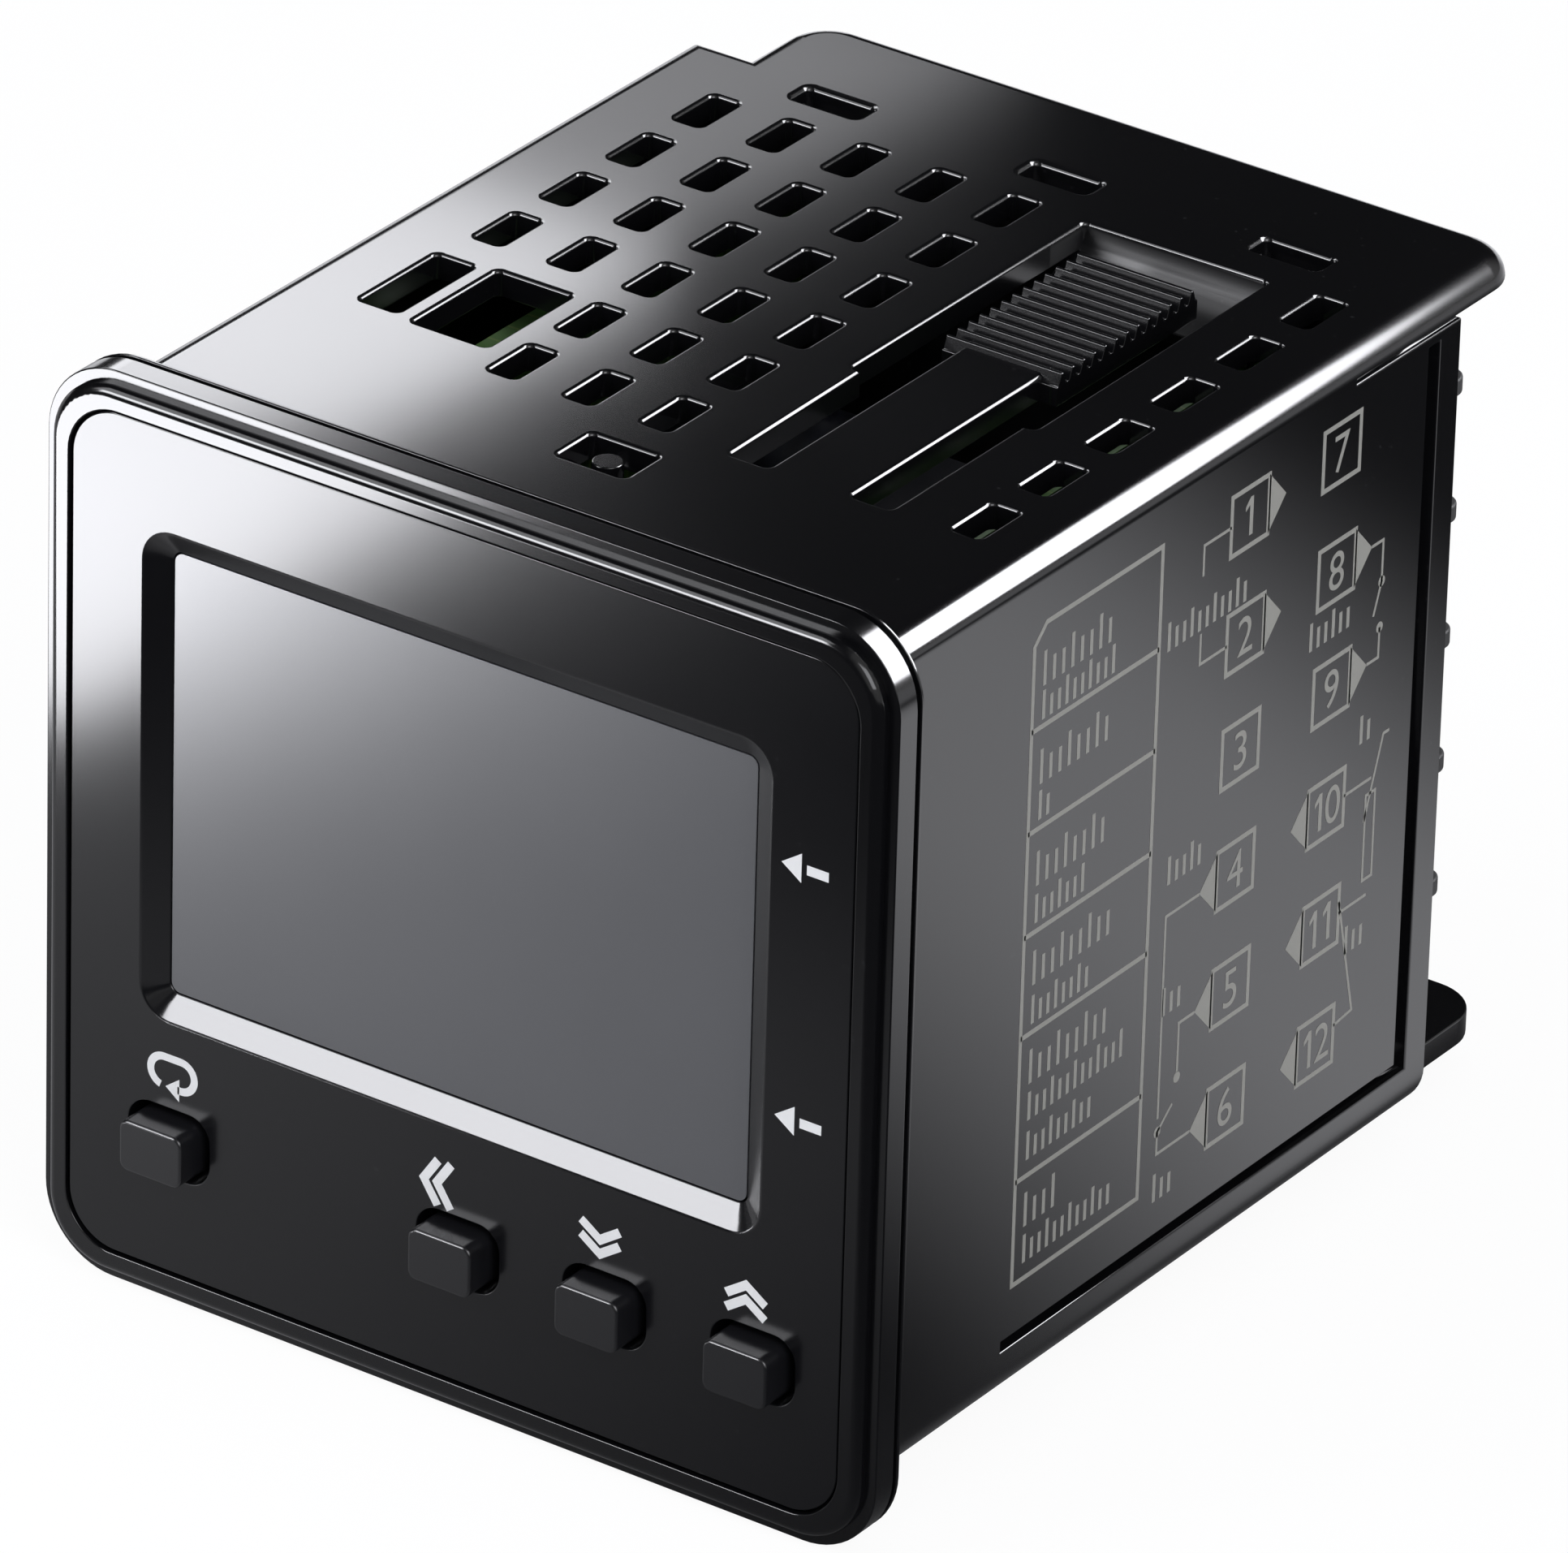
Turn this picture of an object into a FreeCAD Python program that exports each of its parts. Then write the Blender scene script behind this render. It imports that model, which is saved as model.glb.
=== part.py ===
import FreeCAD, Part
import Sketcher
import math
import os
import re

# Panel-mounted temperature controller of the 48 x 48 mm size.
# Frame: millimetres, X to the right seen from the front, Y into the panel, Z up.
# The origin is the middle of the case section, in the plane where the bezel meets the panel.

sizes = {
    # front bezel
    "bezel_width": 48.0,
    "bezel_height": 48.0,
    "bezel_depth": 2.6,
    "bezel_corner": 4.0,
    "band_depth": 1.9,
    "rim_inset": 0.6,
    "rim_round": 0.5,
    "rim_width": 1.1,
    "seam_width": 0.3,
    "seam_deep": 0.35,
    "flange_edge": 0.2,
    # facia panel with its bevelled window
    "panel_gap": 0.12,
    "panel_recess": 0.15,
    "panel_thick": 1.5,
    "window_margin_left": 7.2,
    "window_margin_right": 7.75,
    "window_margin_bottom": 16.45,
    "window_margin_top": 8.35,
    "window_corner": 0.5,
    "bevel_width": 1.25,
    "bevel_deep": 0.75,
    # keys
    "key_width": 3.6,
    "key_height": 2.7,
    "key_corner": 0.5,
    "key_round": 0.15,
    "key_rise": 1.5,
    "key_hole_width": 4.7,
    "key_hole_height": 3.6,
    "key_hole_corner": 1.2,
    "key_step": 0.175,
    "key_margin_right": 6.7,
    "key_margin_bottom": 8.8,
    "key_travel": 0.4,
    "lug_height": 4.6,
    "lug_gap": 0.1,
    "lug_thick": 0.85,
    "stem_radius": 1.2,
    "stem_length": 1.2,
    # push switches behind the keys
    "switch_side": 3.8,
    "switch_gap": 0.2,
    "plunger_radius": 0.9,
    "plunger_length": 2.0,
    "plunger_gap": 0.05,
    # skirt of the bezel, inside the case
    "skirt_length": 5.0,
    "skirt_wall": 0.75,
    "skirt_gap": 0.1,
    "latch_width": 3.0,
    "latch_length": 4.0,
    "latch_place": 8.0,
    "latch_radius": 0.75,
    "latch_rise": 1.2,
    # case sleeve
    "case_inset": 1.8,
    "case_depth": 46.9,
    "case_wall": 1.4,
    "case_corner": 2.4,
    "case_corner_inside": 1.0,
    "case_roll": 1.3,
    "seat_deep": 0.3,
    "seat_gap": 0.1,
    "shadow_front": 38.0,
    "shadow_width": 0.25,
    "shadow_deep": 0.3,
    "top_lip_reach": 5.6,
    "top_lip_inset": 3.3,
    "bottom_lip_reach": 9.1,
    "bottom_lip_inset": 2.2,
    "lip_corner": 2.7,
    # label recess line on each side
    "line_width_rear": 0.95,
    "line_width_low": 0.6,
    "line_deep": 0.7,
    "line_front": 10.8,
    "line_rear_margin": 1.8,
    "line_top_margin": 2.2,
    "line_bottom_margin": 3.1,
    # vents in the top and the bottom
    "vent_width": 1.65,
    "vent_length": 3.4,
    "vent_corner": 0.35,
    "vent_columns": 9,
    "vent_side_margin": 5.25,
    "vent_end_margin": 14.5,
    "vent_centre": 0.7,
    "vent_front": 13.3,
    "vent_rows": 6,
    "wide_vent_length": 6.2,
    "wide_vent_width": 2.3,
    "access_width": 4.4,
    "access_length": 6.9,
    "latch_slot_width": 3.9,
    "latch_slot_length": 2.9,
    "rear_slot_length": 1.6,
    "rear_slot_margin": 2.1,
    "rear_slot_pitch": 13.2,
    # spring tongue with its ribbed pad
    "tongue_centre": 9.5,
    "tongue_width": 4.5,
    "tongue_root": 11.5,
    "tongue_slot": 2.3,
    "pad_width": 6.5,
    "pad_margin": 12.0,
    "pad_step": 0.35,
    "rib_pitch": 0.9,
    "rib_count": 13,
    "rib_base": 0.62,
    "rib_crest": 0.16,
    "rib_height": 0.6,
    "pocket_width": 10.4,
    "pocket_margin": 4.7,
    "bowl_margin_rear": 8.0,
    "bowl_radius": 2.7,
    "bowl_floor": 0.6,
    "bowl_flank": 0.8,
    # display stack
    "lens_gap": 0.05,
    "lens_flange": 1.2,
    "lens_flange_thick": 0.8,
    "glass_inset": 0.6,
    "glass_thick": 2.0,
    "light_inset": 1.4,
    "board_thick": 1.6,
    "display_board_step": 0.2,
    "display_board_gap": 0.15,
    "chip_side": 8.0,
    "chip_thick": 1.2,
    # boards that run front to back
    "side_board_margin": 8.8,
    "side_board_gap": 2.3,
    "board_gap": 0.4,
    "header_length": 4.0,
    "header_width": 2.5,
    "header_height": 16.0,
    # parts on the boards
    "winding_rise": 10.0,
    "winding_length": 12.0,
    "winding_height": 10.0,
    "core_leg": 3.0,
    "core_thick": 5.0,
    "core_lift": 2.5,
    "transformer_place": 20.0,
    "transformer_level": -8.0,
    "relay_rise": 10.4,
    "relay_length": 15.5,
    "relay_height": 14.0,
    "relay_place": 12.0,
    "output_relay_level": 2.0,
    "alarm_relay_level": -16.5,
    "filter_radius": 5.0,
    "filter_length": 12.0,
    "filter_level": -8.0,
    "supply_radius": 3.15,
    "supply_length": 9.0,
    "supply_level": 8.0,
    "capacitor_place": 35.5,
    # terminal block
    "block_gap": 0.15,
    "block_sink": 2.9,
    "block_rise": 1.9,
    "barrier_rise": 2.4,
    "barrier_thick": 0.9,
    "barrier_round": 1.0,
    "barrier_margin": 2.0,
    "barrier_length": 10.8,
    "spine_width": 0.8,
    "terminal_rows": 6,
    "terminal_margin": 3.9,
    "terminal_level": 1.4,
    "terminal_inset": 7.0,
    "plate_width": 5.6,
    "plate_height": 4.6,
    "plate_thick": 0.8,
    "tail_width": 1.0,
    "tail_length": 6.8,
    "tail_gap": 0.05,
    "screw_head_radius": 2.2,
    "screw_head_height": 1.3,
    "screw_radius": 1.25,
    "screw_length": 3.5,
    "screw_gap": 0.05,
    "screw_slot_width": 0.6,
    "screw_slot_deep": 0.6,
}

# sizes that follow from the ones above
derived = {
    "case_width": "bezel_width - 2 * case_inset",
    "case_height": "bezel_height - 2 * case_inset",
    "window_left": "window_margin_left - bezel_width / 2",
    "window_right": "bezel_width / 2 - window_margin_right",
    "window_bottom": "window_margin_bottom - bezel_height / 2",
    "window_top": "bezel_height / 2 - window_margin_top",
    "key_right": "bezel_width / 2 - key_margin_right",
    "key_level": "key_margin_bottom - bezel_height / 2",
    "key_pitch": "bezel_width * key_step",
    "top_lip_end": "case_depth + top_lip_reach",
    "bottom_lip_end": "case_depth + bottom_lip_reach",
    "line_rear": "case_depth - line_rear_margin",
    "line_top": "case_height / 2 - line_top_margin",
    "line_bottom": "line_bottom_margin - case_height / 2",
    "vent_pitch_across": "(case_width - vent_side_margin) / vent_columns",
    "vent_pitch_along": "(case_depth - vent_end_margin) / vent_rows",
    "rear_slot_place": "case_depth - rear_slot_margin",
    "bowl_front": "case_depth - bowl_margin_rear",
    "pad_front": "bowl_front - pad_margin",
    "pocket_front": "pad_front - pocket_margin",
    "skirt_width": "case_width - 2 * case_wall - 2 * skirt_gap",
    "skirt_height": "case_height - 2 * case_wall - 2 * skirt_gap",
    "display_board_width": "skirt_width - 2 * display_board_step",
    "display_board_height": "skirt_height - 2 * skirt_wall - 2 * display_board_gap",
    "side_board_place": "case_width / 2 - side_board_margin",
    "side_board_height": "case_height - 2 * case_wall - 2 * side_board_gap",
    "block_front": "case_depth - block_sink",
    "block_rear": "case_depth + block_rise",
    "barrier_end": "block_rear + barrier_rise",
    "barrier_reach": "case_width / 2 - barrier_margin",
    "barrier_root": "barrier_reach - barrier_length",
    "terminal_pitch": "(case_height - terminal_margin) / terminal_rows",
    "terminal_column": "case_width / 2 - terminal_inset",
}


doc = FreeCAD.newDocument("temperature_controller")
sheet = doc.addObject("Spreadsheet::Sheet", "sizes")
cells = dict(sizes)
cells.update({alias: "=" + rule for alias, rule in derived.items()})
for row, (alias, value) in enumerate(cells.items(), start=1):
    sheet.set(f"A{row}", alias)
    sheet.set(f"B{row}", str(value))
    sheet.setAlias(f"B{row}", alias)
doc.recompute()
rows_of_terminals = sizes["terminal_rows"]


def formula(text):
    """Turn a formula of size names into an expression on the sheet."""
    return re.sub(r"[a-z]\w*", lambda word: "sizes." + word.group(), str(text))


def number(text):
    """The present value of a formula of size names."""
    value = re.sub(r"[a-z]\w*", lambda word: str(sheet.get(word.group())), str(text))
    total = sheet.evalExpression(value)
    return float(getattr(total, "Value", total))


def bind(item, **formulas):
    """Tie properties of an object to formulas of size names."""
    for name, text in formulas.items():
        item.setExpression(name.replace("__", "."), formula(text))


def at(item, x=0, y=0, z=0):
    """Tie the place of an object to three formulas."""
    bind(item, Placement__Base__x=x, Placement__Base__y=y, Placement__Base__z=z)


# ---- plain solids ----


def block(name, low, high):
    """A box between two corners, each given as three formulas."""
    solid = doc.addObject("Part::Box", name)
    lengths = [f"({top}) - ({bottom})" for bottom, top in zip(low, high)]
    bind(solid, Length=lengths[0], Width=lengths[1], Height=lengths[2])
    at(solid, *low)
    return solid


def rod(name, along, radius, length, x, y, z):
    """A cylinder that starts at a point and runs along +X, +Y or +Z."""
    solid = doc.addObject("Part::Cylinder", name)
    turns = {"x": ((0, 1, 0), 90), "y": ((1, 0, 0), -90), "z": ((0, 0, 1), 0)}
    axis, angle = turns[along]
    solid.Placement.Rotation = FreeCAD.Rotation(FreeCAD.Vector(*axis), angle)
    bind(solid, Radius=radius, Height=length)
    at(solid, x, y, z)
    return solid


def joined(name, solids):
    whole = doc.addObject("Part::MultiFuse", name)
    whole.Shapes = solids
    return whole


def cut(name, base, tool):
    whole = doc.addObject("Part::Cut", name)
    whole.Base = base
    whole.Tool = tool
    return whole


def grouped(name, solids):
    """Separate solids that share one node."""
    whole = doc.addObject("Part::Compound", name)
    whole.Links = solids
    return whole


# ---- bodies with sketches ----


def new_body(name):
    body = doc.addObject("PartDesign::Body", name)
    body.Label = name
    return body


def origin_part(body, role):
    return next(part for part in body.Origin.OriginFeatures if part.Role == role)


def new_sketch(body, plane, name, offset=0):
    """A sketch on an origin plane, moved along the plane's normal by a formula."""
    sketch = body.newObject("Sketcher::SketchObject", name)
    sketch.AttachmentSupport = [(origin_part(body, plane), "")]
    sketch.MapMode = "FlatFace"
    bind(sketch, AttachmentOffset__Base__z=offset)
    return sketch


def hold(sketch, kind, *places, formula_text=None):
    """Add one constraint, tied to a formula where one is given."""
    if formula_text is None:
        sketch.addConstraint(Sketcher.Constraint(kind, *places))
        return
    index = sketch.addConstraint(Sketcher.Constraint(kind, *places, number(formula_text)))
    sketch.setExpression(f"Constraints[{index}]", formula(formula_text))


def outline(sketch, points):
    """A closed outline of straight lines; each point is a pair of formulas."""
    places = [FreeCAD.Vector(number(u), number(v), 0) for u, v in points]
    first = sketch.GeometryCount
    count = len(points)
    for index in range(count):
        line = Part.LineSegment(places[index], places[(index + 1) % count])
        sketch.addGeometry(line, False)
    for index in range(count):
        hold(sketch, "Coincident", first + index, 2, first + (index + 1) % count, 1)
    for index, (u, v) in enumerate(points):
        hold(sketch, "DistanceX", -1, 1, first + index, 1, formula_text=u)
        hold(sketch, "DistanceY", -1, 1, first + index, 1, formula_text=v)


def rounded(sketch, left, right, bottom, top, radius):
    """A rectangle with four equal corner arcs; all five sizes are formulas."""
    low_u, high_u = number(left), number(right)
    low_v, high_v = number(bottom), number(top)
    bend = number(radius)
    first = sketch.GeometryCount

    def spot(u, v):
        return FreeCAD.Vector(u, v, 0)

    sides = [
        (spot(low_u + bend, low_v), spot(high_u - bend, low_v)),
        (spot(high_u, low_v + bend), spot(high_u, high_v - bend)),
        (spot(high_u - bend, high_v), spot(low_u + bend, high_v)),
        (spot(low_u, high_v - bend), spot(low_u, low_v + bend)),
    ]
    corners = [
        (high_u - bend, low_v + bend, -90),
        (high_u - bend, high_v - bend, 0),
        (low_u + bend, high_v - bend, 90),
        (low_u + bend, low_v + bend, 180),
    ]
    for start, end in sides:
        sketch.addGeometry(Part.LineSegment(start, end), False)
    for u, v, turn in corners:
        circle = Part.Circle(spot(u, v), FreeCAD.Vector(0, 0, 1), bend)
        start = math.radians(turn)
        arc = Part.ArcOfCircle(circle, start, start + math.pi / 2)
        sketch.addGeometry(arc, False)
    for side in range(4):
        arc = first + 4 + side
        hold(sketch, "Tangent", first + side, 2, arc, 1)
        hold(sketch, "Tangent", arc, 2, first + (side + 1) % 4, 1)
        hold(sketch, "Horizontal" if side % 2 == 0 else "Vertical", first + side)
    for other in range(1, 4):
        hold(sketch, "Equal", first + 4, first + 4 + other)
    hold(sketch, "Radius", first + 4, formula_text=radius)
    hold(sketch, "DistanceY", -1, 1, first, 1, formula_text=bottom)
    hold(sketch, "DistanceX", -1, 1, first + 1, 1, formula_text=right)
    hold(sketch, "DistanceY", -1, 1, first + 2, 1, formula_text=top)
    hold(sketch, "DistanceX", -1, 1, first + 3, 1, formula_text=left)


def centred(sketch, width, height, radius, u="0", v="0"):
    """A rounded rectangle about a middle point."""
    rounded(
        sketch,
        f"({u}) - ({width}) / 2",
        f"({u}) + ({width}) / 2",
        f"({v}) - ({height}) / 2",
        f"({v}) + ({height}) / 2",
        radius,
    )


def ring(sketch, u, v, radius):
    """One circle."""
    circle = Part.Circle(
        FreeCAD.Vector(number(u), number(v), 0), FreeCAD.Vector(0, 0, 1), number(radius)
    )
    index = sketch.addGeometry(circle, False)
    hold(sketch, "Radius", index, formula_text=radius)
    hold(sketch, "DistanceX", -1, 1, index, 3, formula_text=u)
    hold(sketch, "DistanceY", -1, 1, index, 3, formula_text=v)


def pad(body, sketch, length, name, back=False):
    feature = body.newObject("PartDesign::Pad", name)
    feature.Profile = sketch
    feature.Reversed = back
    bind(feature, Length=length)
    sketch.Visibility = False
    return feature


def pocket(body, sketch, name, length=None, back=False):
    """A pocket of the given length, or through everything."""
    feature = body.newObject("PartDesign::Pocket", name)
    feature.Profile = sketch
    feature.Reversed = back
    if length is None:
        feature.Type = "ThroughAll"
    else:
        bind(feature, Length=length)
    return feature


def line_of(body, originals, name, role, spacing, count):
    """Copies of a feature in a row along one origin axis."""
    row = body.newObject("PartDesign::LinearPattern", name)
    row.Originals = originals
    row.Direction = (origin_part(body, role), [""])
    bind(row, Length=f"({spacing}) * (({count}) - 1)", Occurrences=count)
    body.Tip = row
    return row


def grid_of(body, original, name, across, columns, along, rows):
    """Copies of a feature in columns along X and rows along Y."""
    grid = body.newObject("PartDesign::MultiTransform", name)
    grid.Originals = [original]
    steps = []
    for suffix, role, spacing, count in (
        ("columns", "X_Axis", across, columns),
        ("rows", "Y_Axis", along, rows),
    ):
        step = doc.addObject("PartDesign::LinearPattern", f"{name}_{suffix}")
        body.addObject(step)
        step.Direction = (origin_part(body, role), [""])
        bind(step, Length=f"({spacing}) * (({count}) - 1)", Occurrences=count)
        steps.append(step)
    grid.Transformations = steps
    body.Tip = grid
    return grid


def mirrored(body, originals, name, plane):
    copy = body.newObject("PartDesign::Mirrored", name)
    copy.Originals = originals
    copy.MirrorPlane = (origin_part(body, plane), [""])
    body.Tip = copy
    return copy


def front_face(shape):
    """The name of the face that lies furthest forward."""
    reach = [face.CenterOfMass.y for face in shape.Faces]
    return f"Face{reach.index(min(reach)) + 1}"


def near(first, second):
    return abs(first - second) < 1e-4


def edges_where(shape, wanted):
    """The names of the edges whose bounding box passes a test."""
    names = []
    for index, edge in enumerate(shape.Edges, start=1):
        if wanted(edge.BoundBox):
            names.append(f"Edge{index}")
    return names


def fillet(body, feature, names, radius, name):
    rounding = body.newObject("PartDesign::Fillet", name)
    rounding.Base = (feature, names)
    bind(rounding, Radius=radius)
    return rounding


# ---- case sleeve ----

top_outside = "case_height / 2"
top_inside = "case_height / 2 - case_wall"
pocket_left = "tongue_centre - pocket_width / 2"
pocket_right = "tongue_centre + pocket_width / 2"
pocket_rear = "bowl_front + bowl_radius"


def case_outside(body):
    """The solid outer form: a square bar with a lip that runs on from its top and bottom."""
    bar = new_sketch(body, "XZ_Plane", "case_outside_sketch", "seat_deep")
    outline(
        bar,
        [
            ("-case_width / 2", "-case_height / 2"),
            ("case_width / 2", "-case_height / 2"),
            ("case_width / 2", "case_height / 2"),
            ("-case_width / 2", "case_height / 2"),
        ],
    )
    whole = pad(body, bar, "case_depth + seat_deep", "case_bar", back=True)
    doc.recompute()
    low = -number("case_height") / 2

    def is_lower_corner(box):
        return near(box.ZMin, low) and near(box.ZMax, low) and near(box.XLength, 0)

    edges = edges_where(whole.Shape, is_lower_corner)
    fillet(body, whole, edges, "case_corner", "lower_corners")
    start = "case_depth - 3 * lip_corner"
    side = "case_width / 2"
    top = new_sketch(body, "XY_Plane", "top_lip_sketch", top_inside)
    rounded(top, f"top_lip_inset - {side}", side, start, "top_lip_end", "lip_corner")
    pad(body, top, "case_wall", "top_lip")
    bottom = new_sketch(body, "XY_Plane", "bottom_lip_sketch", "-case_height / 2")
    edge = f"{side} - bottom_lip_inset"
    rounded(bottom, f"-({edge})", edge, start, "bottom_lip_end", "lip_corner")
    return pad(body, bottom, "case_wall", "bottom_lip")


def case_rolled_edge(body, whole):
    """One roll along both top edges that goes on round the top lip."""
    doc.recompute()
    level = number("case_height") / 2

    def is_rolled(box):
        on_top = near(box.ZMin, level) and near(box.ZMax, level)
        return on_top and box.YMax > 0

    fillet(body, whole, edges_where(whole.Shape, is_rolled), "case_roll", "rolled_edge")


def case_hollow(body):
    """The space inside the sleeve, open at the front and the rear."""
    inside = new_sketch(body, "XZ_Plane", "case_hollow_sketch", "seat_deep")
    centred(
        inside,
        "case_width - 2 * case_wall",
        "case_height - 2 * case_wall",
        "case_corner_inside",
    )
    pocket(body, inside, "case_hollow")


def case_side_lines(body):
    """A fine shadow line under each rolled edge and the label line on each side."""
    shadow = new_sketch(body, "XZ_Plane", "shadow_sketch", "-shadow_front")
    deep = "case_width / 2 - shadow_deep"
    outline(
        shadow,
        [
            (deep, f"{top_inside} - shadow_width"),
            ("case_width / 2 + case_wall", f"{top_inside} - shadow_width"),
            ("case_width / 2 + case_wall", top_inside),
            (deep, top_inside),
        ],
    )
    shadow_cut = pocket(body, shadow, "shadow_line", "case_depth")
    label = new_sketch(body, "YZ_Plane", "label_sketch", "case_width / 2")
    outline(
        label,
        [
            ("line_front", "line_bottom"),
            ("line_rear", "line_bottom"),
            ("line_rear", "line_top"),
            ("line_rear - line_width_rear", "line_top"),
            ("line_rear - line_width_rear", "line_bottom + line_width_low"),
            ("line_front", "line_bottom + line_width_low"),
        ],
    )
    label_cut = pocket(body, label, "label_line", "line_deep")
    mirrored(body, [shadow_cut, label_cut], "lines_left", "YZ_Plane")


def slot(body, name, x, y, width, length, level=top_outside, back=False):
    """One slot through the top wall, or through the bottom wall."""
    sketch = new_sketch(body, "XY_Plane", name + "_sketch", level)
    centred(sketch, width, length, "vent_corner", x, y)
    return pocket(body, sketch, name, "2 * case_wall", back)


def case_vents(body):
    """Rows of small slots, two larger openings and the cross slots."""
    small = ("vent_width", "vent_length")
    middle = "vent_centre - 2 * vent_pitch_across"
    main = slot(body, "vent_main", middle, "vent_front", *small)
    grid_of(body, main, "vent_grid", "vent_pitch_across", 3, "vent_pitch_along", "vent_rows")
    left = "vent_centre - 4 * vent_pitch_across"
    behind = "vent_front + 2 * vent_pitch_along"
    side = slot(body, "vent_side", left, behind, *small)
    grid_of(body, side, "vent_left", "vent_pitch_across", 2, "vent_pitch_along", "vent_rows - 2")
    right = "vent_centre + 4 * vent_pitch_across"
    edge = slot(body, "vent_edge", right, "vent_front", *small)
    line_of(body, [edge], "vent_right", "Y_Axis", "vent_pitch_along", "vent_rows")
    large = "vent_front + vent_pitch_along * 2 / 3"
    slot(body, "wide_vent", left, large, "wide_vent_width", "wide_vent_length")
    beside = "vent_centre - 3 * vent_pitch_across"
    slot(body, "access_opening", beside, large, "access_width", "access_length")
    rear_left = "vent_centre - rear_slot_pitch"
    wide = slot(
        body, "rear_slot", rear_left, "rear_slot_place", "latch_slot_width", "rear_slot_length"
    )
    line_of(body, [wide], "rear_slots", "X_Axis", "rear_slot_pitch", 3)


def case_floor_vents(body):
    """A plain grid of the same slots in the bottom wall."""
    low = "-case_height / 2"
    left = "-2 * vent_pitch_across"
    behind = "vent_front + vent_pitch_along"
    small = ("vent_width", "vent_length")
    first = slot(body, "floor_vent", left, behind, *small, level=low, back=True)
    grid_of(body, first, "floor_vents", "vent_pitch_across", 5, "vent_pitch_along", "vent_rows - 2")


def case_latch_slots(body):
    """The slots that the two snap studs of the bezel spring into."""
    size = ("latch_slot_width", "latch_slot_length")
    upper = slot(body, "latch_slot", "vent_centre", "latch_place", *size)
    mirrored(body, [upper], "latch_slot_below", "XY_Plane")


def case_tongue(body):
    """A spring tongue cut from the top wall, with a ribbed pad and a curved thumb recess."""
    for side, name in ((-1, "tongue_slot_left"), (1, "tongue_slot_right")):
        x = f"tongue_centre + ({side}) * (tongue_width + tongue_slot) / 2"
        y = "(tongue_root + pocket_front + case_wall) / 2"
        slot(body, name, x, y, "tongue_slot", "pocket_front + case_wall - tongue_root")
    well = new_sketch(body, "XY_Plane", "pad_well_sketch", top_outside)
    rounded(well, pocket_left, pocket_right, "pocket_front", pocket_rear, "vent_corner")
    pocket(body, well, "pad_well", "2 * case_wall")
    strip = new_sketch(body, "XY_Plane", "tongue_sketch", top_inside)
    half = "tongue_width / 2"
    outline(
        strip,
        [
            (f"tongue_centre - {half}", "pocket_front - case_wall"),
            (f"tongue_centre + {half}", "pocket_front - case_wall"),
            (f"tongue_centre + {half}", "pad_front + case_wall"),
            (f"tongue_centre - {half}", "pad_front + case_wall"),
        ],
    )
    pad(body, strip, "case_wall", "tongue")
    pad_end = "pad_front + rib_pitch * rib_count"
    base = new_sketch(body, "XY_Plane", "pad_sketch", top_inside)
    half_pad = "pad_width / 2"
    outline(
        base,
        [
            (f"tongue_centre - {half_pad}", "pad_front"),
            (f"tongue_centre + {half_pad}", "pad_front"),
            (f"tongue_centre + {half_pad}", pad_end),
            (f"tongue_centre - {half_pad}", pad_end),
        ],
    )
    pad(body, base, "case_wall - pad_step", "ribbed_pad")


def case_ribs(body):
    """The ribs across the pad, one section repeated along it."""
    section = new_sketch(body, "YZ_Plane", "rib_sketch", "tongue_centre - pad_width / 2")
    foot = f"{top_outside} - pad_step"
    sunk = f"{foot} - pad_step"
    middle = "pad_front + rib_pitch / 2"
    outline(
        section,
        [
            (f"{middle} - rib_base / 2", sunk),
            (f"{middle} + rib_base / 2", sunk),
            (f"{middle} + rib_base / 2", foot),
            (f"{middle} + rib_crest / 2", f"{foot} + rib_height"),
            (f"{middle} - rib_crest / 2", f"{foot} + rib_height"),
            (f"{middle} - rib_base / 2", foot),
        ],
    )
    rib = pad(body, section, "pad_width", "rib")
    line_of(body, [rib], "ribs", "Y_Axis", "rib_pitch", "rib_count")


def case_bowl(body):
    """The thumb recess behind the pad: a quarter round between the well and the top."""
    section = new_sketch(body, "YZ_Plane", "bowl_sketch", f"{pocket_left} - bowl_flank")
    floor = f"{top_outside} - bowl_radius - bowl_floor"
    heel = f"{pocket_rear} + bowl_flank"
    corners = [
        ("bowl_front", floor),
        (heel, floor),
        (heel, top_outside),
        (pocket_rear, top_outside),
        ("bowl_front", f"{top_outside} - bowl_radius"),
    ]
    spots = [FreeCAD.Vector(number(u), number(v), 0) for u, v in corners]
    centre = FreeCAD.Vector(number("bowl_front"), number(top_outside), 0)
    circle = Part.Circle(centre, FreeCAD.Vector(0, 0, 1), number("bowl_radius"))
    for index in range(3):
        section.addGeometry(Part.LineSegment(spots[index], spots[index + 1]), False)
    section.addGeometry(Part.ArcOfCircle(circle, -math.pi / 2, 0), False)
    section.addGeometry(Part.LineSegment(spots[4], spots[0]), False)
    for first, first_end, second, second_end in (
        (0, 2, 1, 1),
        (1, 2, 2, 1),
        (2, 2, 3, 2),
        (3, 1, 4, 1),
        (4, 2, 0, 1),
    ):
        hold(section, "Coincident", first, first_end, second, second_end)
    for index, (u, v) in enumerate(corners[:3]):
        hold(section, "DistanceX", -1, 1, index, 1, formula_text=u)
        hold(section, "DistanceY", -1, 1, index, 1, formula_text=v)
    hold(section, "Horizontal", 2)
    hold(section, "Vertical", 4)
    hold(section, "DistanceX", -1, 1, 3, 3, formula_text="bowl_front")
    hold(section, "DistanceY", -1, 1, 3, 3, formula_text=top_outside)
    hold(section, "Radius", 3, formula_text="bowl_radius")
    pad(body, section, "pocket_width + 2 * bowl_flank", "thumb_recess")


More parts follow.
